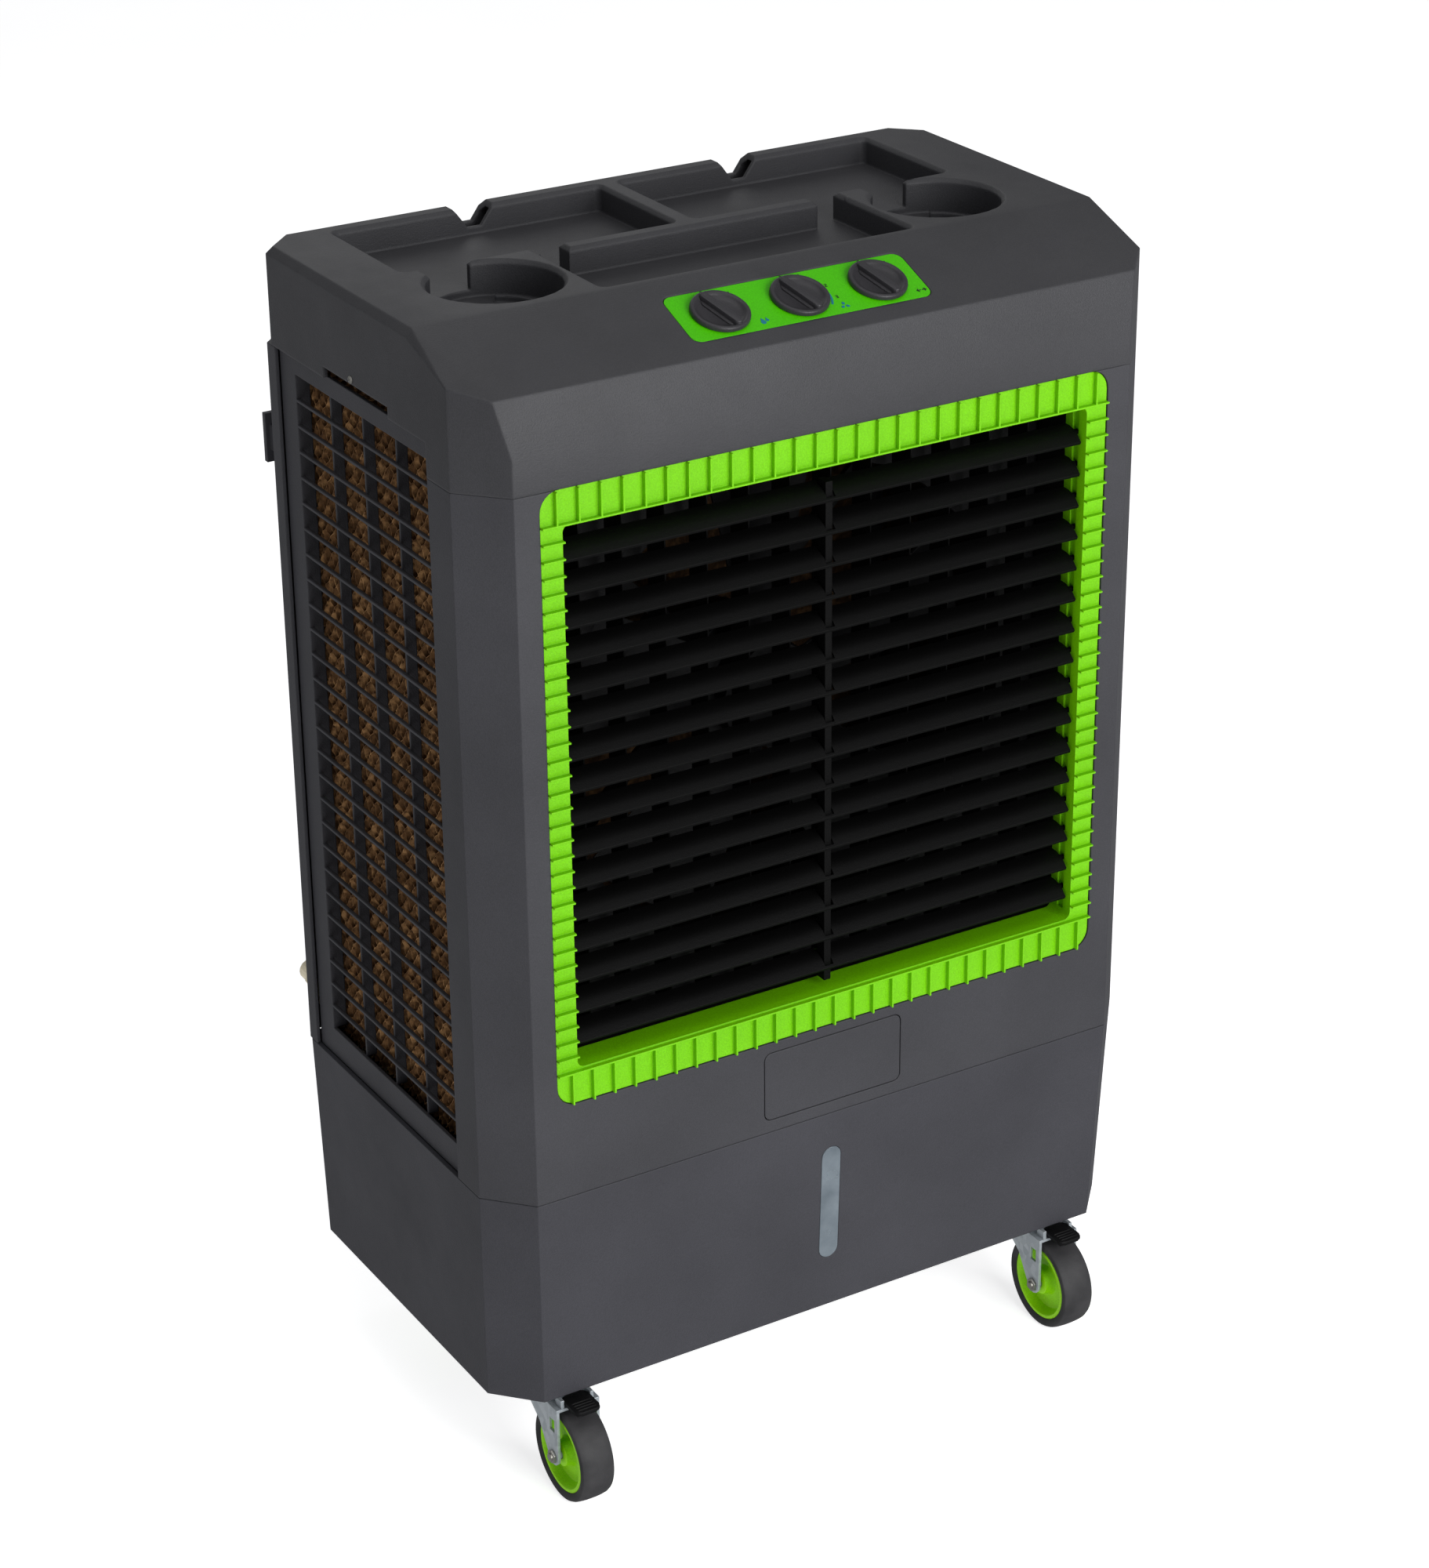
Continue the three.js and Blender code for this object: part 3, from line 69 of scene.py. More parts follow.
# Square area lights: azimuth, elevation, distance, side, power in watts.
LIGHTS = {
    "key": (8, 18, 3.4, 2.2, 104),
    "top": (-20, 80, 3.2, 2.6, 22),
    "left_fill": (-75, 12, 4.0, 2.4, 3),
    "back_rim": (165, 35, 3.6, 2.0, 8),
}
LIGHT_TARGET = Vector((0, 0, 0.5))
SKY_COLOUR = (0.93, 0.94, 0.96, 1)
SKY_STRENGTH = 0.28


def direction(azimuth, elevation):
    """The unit vector towards a place in degrees round from the front and up from the floor."""
    a, e = math.radians(azimuth), math.radians(elevation)
    return Vector((math.sin(a) * math.cos(e), -math.cos(a) * math.cos(e), math.sin(e)))


def make_camera():
    data = bpy.data.cameras.new("camera")
    data.sensor_width = SENSOR
    data.lens = LENS
    data.shift_x, data.shift_y = LENS_SHIFT
    data.clip_end = CLIP_END
    cam = bpy.data.objects.new("camera", data)
    bpy.context.scene.collection.objects.link(cam)
    back = direction(VIEW_AZIMUTH, VIEW_ELEVATION)
    cam.location = VIEW_TARGET + back * VIEW_DISTANCE
    turn = (-back).to_track_quat("-Z", "Y").to_matrix()
    cam.rotation_euler = (turn @ Matrix.Rotation(VIEW_ROLL, 3, "Z")).to_euler()
    bpy.context.scene.camera = cam


def area_light(name, azimuth, elevation, distance, side, power):
    data = bpy.data.lights.new(name, "AREA")
    data.size = side
    data.energy = power
    lamp = bpy.data.objects.new(name, data)
    bpy.context.scene.collection.objects.link(lamp)
    back = direction(azimuth, elevation)
    lamp.location = LIGHT_TARGET + back * distance
    lamp.rotation_euler = (-back).to_track_quat("-Z", "Y").to_euler()


def make_sky():
    world = bpy.data.worlds.new("studio")
    world.use_nodes = True
    background = world.node_tree.nodes["Background"]
    background.inputs["Color"].default_value = SKY_COLOUR
    background.inputs["Strength"].default_value = SKY_STRENGTH
    bpy.context.scene.world = world


make_camera()
for light_name, light in LIGHTS.items():
    area_light(light_name, *light)
make_sky()
bpy.context.scene.view_settings.view_transform = "Standard"


# ---- Materials ----
def linear(rgb):
    """A display colour, 0 to 255, as a linear one with full alpha."""
    def one(v):
        v /= 255
        return v / 12.92 if v <= 0.04045 else ((v + 0.055) / 1.055) ** 2.4
    return tuple(one(v) for v in rgb) + (1.0,)


def scaled(colour, factor, lift=0.0):
    return tuple(min(1.0, c * factor + lift) for c in colour[:3]) + (1.0,)


def grey(value):
    return (value, value, value, 1)


class Shader:
    """A node material on object coordinates, which are metres of the frame."""

    EDGE_SAMPLES = 6
    EDGE_WEAR_AND_HIGHLIGHT_GAIN = 4.0

    def __init__(self, name):
        self.material = bpy.data.materials.new(name)
        self.material.use_nodes = True
        self.tree = self.material.node_tree
        self.bsdf = self.tree.nodes["Principled BSDF"]
        self.place = self.node("ShaderNodeTexCoord").outputs["Object"]

    def node(self, kind, **values):
        made = self.tree.nodes.new(kind)
        for key, value in values.items():
            if hasattr(made, key):
                setattr(made, key, value)
            else:
                made.inputs[key].default_value = value
        return made

    def link(self, out, into):
        self.tree.links.new(out, into)

    def noise(self, scale, detail=3.0, roughness=0.55, place=None):
        made = self.node("ShaderNodeTexNoise", Scale=scale, Detail=detail, Roughness=roughness)
        self.link(place or self.place, made.inputs["Vector"])
        return made.outputs["Fac"]

    def ramp(self, fac, stops):
        made = self.node("ShaderNodeValToRGB")
        elements = made.color_ramp.elements
        elements[0].position, elements[0].color = stops[0]
        elements[1].position, elements[1].color = stops[-1]
        for position, colour in stops[1:-1]:
            elements.new(position).color = colour
        self.link(fac, made.inputs["Fac"])
        return made.outputs["Color"]

    def span(self, fac, low, high):
        made = self.node("ShaderNodeMapRange")
        made.inputs["To Min"].default_value = low
        made.inputs["To Max"].default_value = high
        self.link(fac, made.inputs["Value"])
        return made.outputs["Result"]

    def mix(self, fac, a, b, blend="MIX"):
        made = self.node("ShaderNodeMix", data_type="RGBA", blend_type=blend)
        sockets = [s for s in made.inputs if s.enabled]
        for socket, value in zip(sockets, (fac, a, b)):
            if isinstance(value, bpy.types.NodeSocket):
                self.link(value, socket)
            else:
                socket.default_value = value
        return next(s for s in made.outputs if s.enabled)

    def math(self, operation, a, b=0.0, clamp=False):
        made = self.node("ShaderNodeMath", operation=operation, use_clamp=clamp)
        for socket, value in zip(made.inputs, (a, b)):
            if isinstance(value, bpy.types.NodeSocket):
                self.link(value, socket)
            else:
                socket.default_value = value
        return made.outputs[0]

    def edges(self, radius):
        """The rounded normal, and a mask that is 1 on edges, where paler wear and painted highlights go."""
        soft = self.node("ShaderNodeBevel", samples=self.EDGE_SAMPLES)
        soft.inputs["Radius"].default_value = radius
        geometry = self.node("ShaderNodeNewGeometry")
        dot = self.node("ShaderNodeVectorMath", operation="DOT_PRODUCT")
        self.link(soft.outputs["Normal"], dot.inputs[0])
        self.link(geometry.outputs["Normal"], dot.inputs[1])
        away = self.math("SUBTRACT", 1.0, dot.outputs["Value"], clamp=True)
        return soft.outputs["Normal"], self.math("MULTIPLY", away, self.EDGE_WEAR_AND_HIGHLIGHT_GAIN, clamp=True)

    def upward(self):
        """1 on faces that look straight up, down to 0 on upright and downward ones."""
        geometry = self.node("ShaderNodeNewGeometry")
        parts = self.node("ShaderNodeSeparateXYZ")
        self.link(geometry.outputs["Normal"], parts.inputs[0])
        return self.math("MAXIMUM", parts.outputs["Z"], 0.0)

    def behind(self, depth):
        """1 behind a depth along the frame's Y axis, 0 in front of it."""
        parts = self.node("ShaderNodeSeparateXYZ")
        self.link(self.place, parts.inputs[0])
        return self.math("GREATER_THAN", parts.outputs["Y"], depth)

    def paint(self, colour):
        self.link(colour, self.bsdf.inputs["Base Color"])

    def roughen(self, scale, detail, low, high):
        """Roughness that wanders from low to high."""
        self.link(self.span(self.noise(scale, detail), low, high), self.bsdf.inputs["Roughness"])

    def emboss(self, height, distance, normal=None):
        """Fine relief on the shading normal."""
        made = self.node("ShaderNodeBump", Distance=distance)
        self.link(height, made.inputs["Height"])
        if normal is not None:
            self.link(normal, made.inputs["Normal"])
        self.link(made.outputs["Normal"], self.bsdf.inputs["Normal"])

    def set_input(self, socket, value):
        self.bsdf.inputs[socket].default_value = value


DUST = (0.35, 0.34, 0.32, 1)
UNLIT_BLACK = grey(0.004)


def moulded(name, rgb, roughness, grain=900.0, grain_depth=0.00012, blotch=0.12, edge=0.0015,
            edge_wear_and_highlight=0.35, dust=0.0, shine=0.3, black_behind=None):
    """Moulded plastic: spark-eroded grain, uneven tone and roughness, paler edges that are part wear and part
    painted highlight, dust on top.
    """
    s = Shader(name)
    base = linear(rgb)
    tones = [(0.3, scaled(base, 1 - blotch)), (0.7, scaled(base, 1 + blotch))]
    colour = s.ramp(s.noise(scale=7.0, detail=5.0), tones)
    fine = s.ramp(s.noise(grain, detail=2.0), [(0.35, grey(0.9)), (0.65, grey(1.08))])
    colour = s.mix(1.0, colour, fine, "MULTIPLY")
    normal, mask = s.edges(edge)
    # Paler edges under a noise mask: part wear, part painted highlight.
    scuffs_and_edge_highlights = s.math("MULTIPLY", mask, s.span(s.noise(scale=60.0, detail=4.0), 0.0, edge_wear_and_highlight))
    colour = s.mix(scuffs_and_edge_highlights, colour, scaled(base, 1.6, lift=0.02))
    if dust:
        settled = s.math("MULTIPLY", s.upward(), s.span(s.noise(scale=25.0, detail=5.0), 0.0, dust))
        colour = s.mix(settled, colour, DUST)
    if black_behind is not None:
        colour = s.mix(s.behind(black_behind), colour, UNLIT_BLACK)
    s.set_input("Specular IOR Level", shine)
    s.paint(colour)
    s.roughen(scale=35.0, detail=4.0, low=roughness - 0.07, high=roughness + 0.07)
    cells = s.node("ShaderNodeTexVoronoi", Scale=grain)
    s.link(s.place, cells.inputs["Vector"])
    s.emboss(cells.outputs["Distance"], grain_depth, normal)
    return s.material


OUTLET_BLACK_FROM = -0.150  # the outlet's return is lime in front of this depth and black behind it

CHARCOAL = moulded("charcoal_plastic", (55, 55, 59), 0.52, dust=0.03)
TANK_PLASTIC = moulded("tank_plastic", (55, 55, 60), 0.5, dust=0.03)
# The cover's strongly paler edges stand for wear and for painted highlights along its rims.
COVER_PLASTIC = moulded("cover_plastic", (53, 53, 56), 0.5, edge=0.003, edge_wear_and_highlight=0.9, dust=0.03)
LIME = moulded("lime_plastic", (106, 182, 0), 0.42, blotch=0.05, edge_wear_and_highlight=0.2, edge=0.0006, shine=0.2,
               black_behind=OUTLET_BLACK_FROM)
GREEN = moulded("green_plate", (70, 182, 0), 0.4, blotch=0.03, grain_depth=0.00003, edge_wear_and_highlight=0.2, edge=0.0008,
                shine=0.2)
LOUVRE_BLACK = moulded("louvre_black", (8, 8, 8), 0.5, edge=0.0006, edge_wear_and_highlight=0.5, shine=0.1)
BLACK = moulded("black_plastic", (9, 9, 10), 0.55, edge=0.001, shine=0.2)
KNOB = moulded("knob_plastic", (48, 47, 50), 0.38, edge=0.001, grain_depth=0.00005)


def zinc_plate(name):
    """Zinc-plated sheet: mottled spangle, uneven gloss and brighter edges."""
    s = Shader(name)
    spangle = s.node("ShaderNodeTexVoronoi", Scale=160.0)
    s.link(s.place, spangle.inputs["Vector"])
    tone = s.ramp(spangle.outputs["Color"], [(0.0, linear((150, 158, 164))), (1.0, linear((206, 212, 216)))])
    colour = s.mix(s.noise(scale=40.0, detail=4.0), tone, linear((166, 174, 180)))
    normal, mask = s.edges(0.0008)
    # Edges painted brighter: part wear, part painted highlight.
    s.paint(s.mix(s.math("MULTIPLY", mask, 0.5), colour, linear((225, 228, 230))))
    s.set_input("Metallic", 0.45)
    s.roughen(scale=120.0, detail=4.0, low=0.3, high=0.48)
    s.emboss(s.noise(scale=500.0, detail=2.0), 0.00004, normal)
    return s.material


def tyre_rubber(name):
    """Dark rubber, matt and lightly mottled."""
    s = Shader(name)
    tones = [(0.3, linear((34, 34, 36))), (0.7, linear((52, 51, 53)))]
    s.paint(s.ramp(s.noise(scale=45.0, detail=5.0), tones))
    s.roughen(scale=80.0, detail=4.0, low=0.55, high=0.75)
    normal, _ = s.edges(0.0012)
    s.emboss(s.noise(scale=700.0, detail=3.0), 0.00015, normal)
    return s.material


def cellulose(name, shade):
    """Kraft paper stiffened with resin: brown, mottled and fibrous along its height."""
    # A shade below 1 darkens every colour, which is painted shade.
    def brown(*rgb):
        return scaled(linear(rgb), shade)

    s = Shader(name)
    stretch = s.node("ShaderNodeMapping")
    stretch.inputs["Scale"].default_value = (1.0, 1.0, 0.25)
    s.link(s.place, stretch.inputs["Vector"])
    fibre = s.noise(scale=500.0, detail=5.0, roughness=0.7, place=stretch.outputs["Vector"])
    mottle_tones = [(0.36, brown(36, 24, 15)), (0.5, brown(84, 58, 36)), (0.66, brown(206, 160, 108))]
    fibre_tones = [(0.3, brown(60, 40, 24)), (0.7, brown(170, 124, 78))]
    mottle = s.ramp(s.noise(scale=110.0, detail=5.0), mottle_tones)
    s.paint(s.mix(0.5, mottle, s.ramp(fibre, fibre_tones)))
    s.set_input("Roughness", 0.9)
    s.set_input("Specular IOR Level", 0.25)
    s.emboss(fibre, 0.0004)
    return s.material


def clouded_window(name):
    """Blue-grey plastic, half clear."""
    s = Shader(name)
    tones = [(0.3, linear((92, 102, 110))), (0.7, linear((124, 134, 142)))]
    s.paint(s.ramp(s.noise(scale=30.0, detail=4.0), tones))
    s.set_input("Transmission Weight", 0.25)
    s.roughen(scale=50.0, detail=3.0, low=0.18, high=0.32)
    normal, _ = s.edges(0.001)
    s.emboss(s.noise(scale=200.0, detail=2.0), 0.00005, normal)
    return s.material


def plain_metal(name, rgb, roughness, metallic):
    """Metal with a cloudy tone and uneven gloss."""
    s = Shader(name)
    base = linear(rgb)
    s.paint(s.ramp(s.noise(scale=90.0, detail=4.0), [(0.3, scaled(base, 0.8)), (0.7, base)]))
    s.set_input("Metallic", metallic)
    s.roughen(scale=150.0, detail=4.0, low=roughness - 0.06, high=roughness + 0.08)
    normal, _ = s.edges(0.0006)
    s.emboss(s.noise(scale=800.0, detail=2.0), 0.00003, normal)
    return s.material


ZINC = zinc_plate("zinc_plate")
TYRE = tyre_rubber("tyre_rubber")
HUB_LIME = moulded("hub_lime", (140, 208, 0), 0.4, blotch=0.06, edge_wear_and_highlight=0.2, edge=0.001, shine=0.25)
PAD = cellulose("pad_cellulose", 1.0)
# The same pad paper at a quarter of its brightness, for the block inside the pad: painted shade.
PAD_PAINTED_SHADE = cellulose("pad_inside_painted_shade", 0.25)
WINDOW = clouded_window("level_window")
SCREW = plain_metal("screw_steel", (196, 194, 186), 0.28, 1.0)
MOTOR = plain_metal("motor_can", (62, 64, 66), 0.45, 0.6)
OFF_WHITE = moulded("off_white_plastic", (222, 212, 186), 0.45, blotch=0.05, edge_wear_and_highlight=0.1)
INK = moulded("dark_ink", (24, 40, 22), 0.5, edge_wear_and_highlight=0.0, edge=0.0002)
INK_BLUE = moulded("blue_ink", (20, 110, 130), 0.5, edge_wear_and_highlight=0.0, edge=0.0002)

NODE_MATERIALS = {
    "tank": TANK_PLASTIC, "front_panel": CHARCOAL, "rear_panel": CHARCOAL, "top_cover": COVER_PLASTIC,
    "front_bezel": LIME, "control_plate": GREEN, "fill_door": CHARCOAL, "level_window": WINDOW,
    "left_pad_frame": CHARCOAL, "right_pad_frame": CHARCOAL, "rear_pad_frame": CHARCOAL,
    "left_pad": PAD, "right_pad": PAD, "rear_pad": PAD, "fan": BLACK, "fan_shroud": BLACK,
    "fan_motor": MOTOR, "water_circuit": OFF_WHITE, "louvre_link_bar": LOUVRE_BLACK,
    "pump_knob": KNOB, "fan_speed_knob": KNOB, "swing_knob": KNOB,
}


def material_for(node):
    if node in NODE_MATERIALS:
        return NODE_MATERIALS[node]
    if node.startswith(("louvre", "swing_vane")):
        return LOUVRE_BLACK
    if node.startswith("caster_fork"):
        return ZINC
    if node.startswith("caster_wheel"):
        return HUB_LIME
    return BLACK


for node_name, node_object in frame["nodes"].items():
    for material_slot in node_object.material_slots:
        material_slot.material = material_for(node_name)


# ---- Softened edges on the CAD pieces that stay ----
def smooth_group():
    group = bpy.data.node_groups.new("shade_smooth", "GeometryNodeTree")
    group.interface.new_socket("Geometry", in_out="INPUT", socket_type="NodeSocketGeometry")
    group.interface.new_socket("Geometry", in_out="OUTPUT", socket_type="NodeSocketGeometry")
    source = group.nodes.new("NodeGroupInput")
    shade = group.nodes.new("GeometryNodeSetShadeSmooth")
    sink = group.nodes.new("NodeGroupOutput")
    group.links.new(source.outputs[0], shade.inputs["Geometry"])
    group.links.new(shade.outputs[0], sink.inputs[0])
    return group


SMOOTH = smooth_group()
WELD_WITHIN = 0.02
FLAT_WITHIN = 0.4  # degrees between facets of one flat face
EDGE_SEGMENTS = 2


def soften(node, width, sharpest=30):
    """Rounds a CAD node's edges by modifiers alone: its own mesh stays as imported."""
    piece = frame["nodes"][node]
    piece.modifiers.new("weld", "WELD").merge_threshold = WELD_WITHIN * MM
    flats = piece.modifiers.new("flats", "DECIMATE")
    flats.decimate_type = "DISSOLVE"
    flats.angle_limit = math.radians(FLAT_WITHIN)
    bevel = piece.modifiers.new("edges", "BEVEL")
    bevel.width = width * MM
    bevel.segments = EDGE_SEGMENTS
    bevel.limit_method = "ANGLE"
    bevel.angle_limit = math.radians(sharpest)
    piece.modifiers.new("smooth", "NODES").node_group = SMOOTH
    piece.modifiers.new("normals", "WEIGHTED_NORMAL").keep_sharp = False


EDGE_WIDTHS = {
    "tank": 2.0, "front_panel": 1.2, "rear_panel": 1.0, "top_cover": 1.2, "fill_door": 1.0,
    "control_plate": 0.6, "level_window": 0.4, "left_pad_frame": 0.35, "right_pad_frame": 0.35,
    "rear_pad_frame": 0.35, "front_bezel": 0.25, "fan": 0.8, "fan_motor": 2.0, "louvre_link_bar": 0.4,
}
for node_name in frame["nodes"]:
    if node_name in EDGE_WIDTHS:
        soften(node_name, EDGE_WIDTHS[node_name])
    elif node_name.startswith("louvre"):
        soften(node_name, 0.4, sharpest=50)
    elif node_name.startswith("swing_vane"):
        soften(node_name, 0.25, sharpest=50)
    elif node_name.startswith("caster_fork"):
        soften(node_name, 0.5)


# ---- Building pieces ----
ORIGIN = Vector((0, -0.178, 0.102))  # middle of the front face, at the tank's underside
ALONG_X = Matrix.Rotation(math.pi / 2, 4, "Y")  # local Z turned to +X
AGAINST_X = Matrix.Rotation(-math.pi / 2, 4, "Y")  # local Z turned to -X
MERGE_WITHIN = 0.001
SHARP_ANGLE = 35
ROUND_STEPS = 72
SMALL_STEPS = 24
CORNERS = ("front_left", "front_right", "rear_left", "rear_right")
BRAKED_CORNERS = CORNERS[:2]


def working(x, y, z):
    """A point given from the front face and the tank's underside, in millimetres."""
    return Vector((x, y, z)) * MM + ORIGIN


def placed(origin, x_axis, y_axis, z_axis):
    """The matrix that puts the local axes at the origin, along the three directions."""
    return Matrix.Translation(origin) @ Matrix((x_axis, y_axis, z_axis)).transposed().to_4x4()


def middle_of(node):
    low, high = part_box(node)
    return (low + high) / 2


def rounded_outline(x0, x1, y0, y1, radius, steps=6):
    """A rectangle with round corners, each an arc of so many steps."""
    points = []
    for cx, cy, start in ((x1 - radius, y0 + radius, -90), (x1 - radius, y1 - radius, 0),
                          (x0 + radius, y1 - radius, 90), (x0 + radius, y0 + radius, 180)):
        for k in range(steps + 1):
            turn = math.radians(start + 90 * k / steps)
            points.append((cx + radius * math.cos(turn), cy + radius * math.sin(turn)))
    return points


def mirrored(half):
    """A (radius, height) half outline below the middle, and its mirror image above."""
    return half + [(r, -h) for r, h in reversed(half)]


class Build:
    """Gathers closed shells in one mesh. Places are matrices in metres; sizes are millimetres."""

    def __init__(self):
        self.bm = bmesh.new()

    def lathe(self, profile, place, segments):
        """A (radius, height) outline turned about the place's Z axis."""
        rings = []
        for k in range(segments):
            turn = 2 * math.pi * k / segments
            ring = [Vector((r * math.cos(turn) * MM, r * math.sin(turn) * MM, h * MM)) for r, h in profile]
            rings.append([self.bm.verts.new(place @ point) for point in ring])
        for k in range(segments):
            a, b = rings[k], rings[(k + 1) % segments]
            for i in range(len(profile)):
                j = (i + 1) % len(profile)
                if profile[i][0] > 0 or profile[j][0] > 0:
                    self.bm.faces.new((a[i], b[i], b[j], a[j]))
        return self

    def prism(self, outline, low, high, place, bevel=0.0, material=0, segments=EDGE_SEGMENTS):
        """An (x, y) outline drawn out along the place's Z axis, with its top and bottom edges rounded."""
        verts = [[self.bm.verts.new(place @ Vector((x * MM, y * MM, z * MM))) for x, y in outline]
                 for z in (low, high)]
        n = len(outline)
        caps = [self.bm.faces.new(list(reversed(verts[0]))), self.bm.faces.new(verts[1])]
        sides = [self.bm.faces.new((verts[0][i], verts[0][(i + 1) % n], verts[1][(i + 1) % n], verts[1][i]))
                 for i in range(n)]
        for face in caps + sides:
            face.material_index = material
        if bevel:
            self.round_edges([edge for cap in caps for edge in cap.edges], bevel, segments)
        return self

    def round_edges(self, edges, width, segments):
        bmesh.ops.bevel(self.bm, geom=edges, offset=width * MM, segments=segments, profile=0.5,
                        affect="EDGES", clamp_overlap=True)

    def block(self, low, high, place, bevel, material=0):
        """A box between two corners with all its edges rounded."""
        outline = [(low[0], low[1]), (high[0], low[1]), (high[0], high[1]), (low[0], high[1])]
        before = set(self.bm.edges)
        self.prism(outline, low[2], high[2], place, material=material)
        self.round_edges([edge for edge in self.bm.edges if edge not in before], bevel, EDGE_SEGMENTS)
        return self

    def finish(self, name, materials, body, slot, replaces=()):
        """Makes the piece, which rides on a body and may stand for CAD nodes."""
        bmesh.ops.remove_doubles(self.bm, verts=self.bm.verts, dist=MERGE_WITHIN * MM)
        bmesh.ops.recalc_face_normals(self.bm, faces=self.bm.faces)
        mesh = bpy.data.meshes.new(name)
        self.bm.to_mesh(mesh)
        self.bm.free()
        for material in materials:
            mesh.materials.append(material)
        mesh.shade_smooth()
        mesh.set_sharp_from_angle(angle=math.radians(SHARP_ANGLE))
        made = bpy.data.objects.new(name, mesh)
        bpy.context.scene.collection.objects.link(made)
        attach(made, body)
        if replaces:
            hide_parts(*replaces)


# ---- Caster wheels: rubber tyre on a dished lime hub ----
TYRE_PROFILE = mirrored([
    (33.5, -13), (36, -14.6), (38.2, -15), (40.0, -14.2), (41.1, -12), (41.7, -8), (42, -3.6),
])
HUB_PROFILE = mirrored([
    (4.4, -13.6), (9.6, -13.6), (10.6, -13), (11.6, -7.0), (13.6, -4.6), (23, -4.0), (26.4, -5.2),
    (28.6, -9.5), (29.6, -12.4), (30.4, -13.3), (32.8, -13.3), (33.5, -12.6),
])


def wheel(corner):
    node = "caster_wheel_" + corner
    place = Matrix.Translation(middle_of(node)) @ ALONG_X
    for name, profile, material in (("tyre_", TYRE_PROFILE, TYRE), ("hub_", HUB_PROFILE, HUB_LIME)):
        build = Build().lathe(profile, place, ROUND_STEPS)
        build.finish(name + corner, [material], "wheel_" + corner, "wheel", [node])


for corner in CORNERS:
    wheel(corner)


# ---- Corrugated pads: wavy sheets side by side, crossing in alternate slants ----
SHEET_PITCH = 6.6
SHEET_THICK = 0.9
WAVE_LENGTH = 15.0
WAVE_STEPS = 8
WAVE_DEPTH = 11.0
FACE_SWAY = 0.44 * SHEET_PITCH
INNER_SWAY = 0.46 * SHEET_PITCH
SLANT = 0.6 * WAVE_DEPTH
PHASE_SPREAD = 0.12
RAGGED = 0.7
RAGGED_SPREAD = 0.22
BLOCK_EDGE = 1.5
BLOCK_OVERLAP = 0.5


def sheets(width, height, seed):
    """Ribbons in a plane: x across the pad, y up it, z from its face inwards."""
    count = int(width / SHEET_PITCH)
    steps = int(height / WAVE_LENGTH * WAVE_STEPS)
    rng = np.random.default_rng(seed)
    up = np.linspace(0, height, steps + 1)
    rate = 2 * math.pi / WAVE_LENGTH
    verts, faces = [], []
    for k in range(count):
        middle = (k + 0.5) * width / count
        phase = math.pi * (k % 2) + rng.normal(0, PHASE_SPREAD)
        slant = SLANT if k % 2 else -SLANT
        sway = FACE_SWAY * np.sin(rate * up + phase)
        inner = INNER_SWAY * np.sin(rate * (up + slant) + phase)
        ragged = RAGGED + RAGGED * np.sin(2 * rate * up + phase) + rng.normal(0, RAGGED_SPREAD, steps + 1)
        base = len(verts)
        for i in range(steps + 1):
            verts += [
                (middle + sway[i] - SHEET_THICK / 2, up[i], ragged[i]),
                (middle + sway[i] + SHEET_THICK / 2, up[i], ragged[i]),
                (middle + inner[i] + SHEET_THICK / 2, up[i], WAVE_DEPTH),
                (middle + inner[i] - SHEET_THICK / 2, up[i], WAVE_DEPTH),
            ]
        for i in range(steps):
            a, b = base + 4 * i, base + 4 * (i + 1)
            faces += [(a + j, a + (j + 1) % 4, b + (j + 1) % 4, b + j) for j in range(4)]
        end = base + 4 * steps
        faces += [(base + 3, base + 2, base + 1, base), (end, end + 1, end + 2, end + 3)]
    return verts, faces


def pad(node, across, inward, seed):
    """A pad's sheets on its outer face, and the block of the rest behind them, painted dark as shade."""
    low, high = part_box(node)
    size_x, size_y, height = (side / MM for side in high - low)
    width, thick = (size_x, size_y) if across.x else (size_y, size_x)
    corner = Vector((
        low.x if across.x + inward.x > 0 else high.x,
        low.y if across.y + inward.y > 0 else high.y,
        low.z))
    place = placed(corner, across, Vector((0, 0, 1)), inward)
    verts, faces = sheets(width, height, seed)
    mesh = bpy.data.meshes.new(node + "_sheets")
    mesh.from_pydata([place @ (Vector(v) * MM) for v in verts], [], faces)
    build = Build()
    build.bm.from_mesh(mesh)
    bpy.data.meshes.remove(mesh)
    # The inner block takes slot 1, the pad paper painted dark as shade.
    build.block((0, 0, WAVE_DEPTH - BLOCK_OVERLAP), (width, height, thick), place, BLOCK_EDGE, 1)
    build.finish(node + "_sheets", [PAD, PAD_PAINTED_SHADE], "housing", "pad", [node])


pad("left_pad", Vector((0, 1, 0)), Vector((1, 0, 0)), seed=11)
pad("right_pad", Vector((0, 1, 0)), Vector((-1, 0, 0)), seed=12)
pad("rear_pad", Vector((1, 0, 0)), Vector((0, -1, 0)), seed=13)


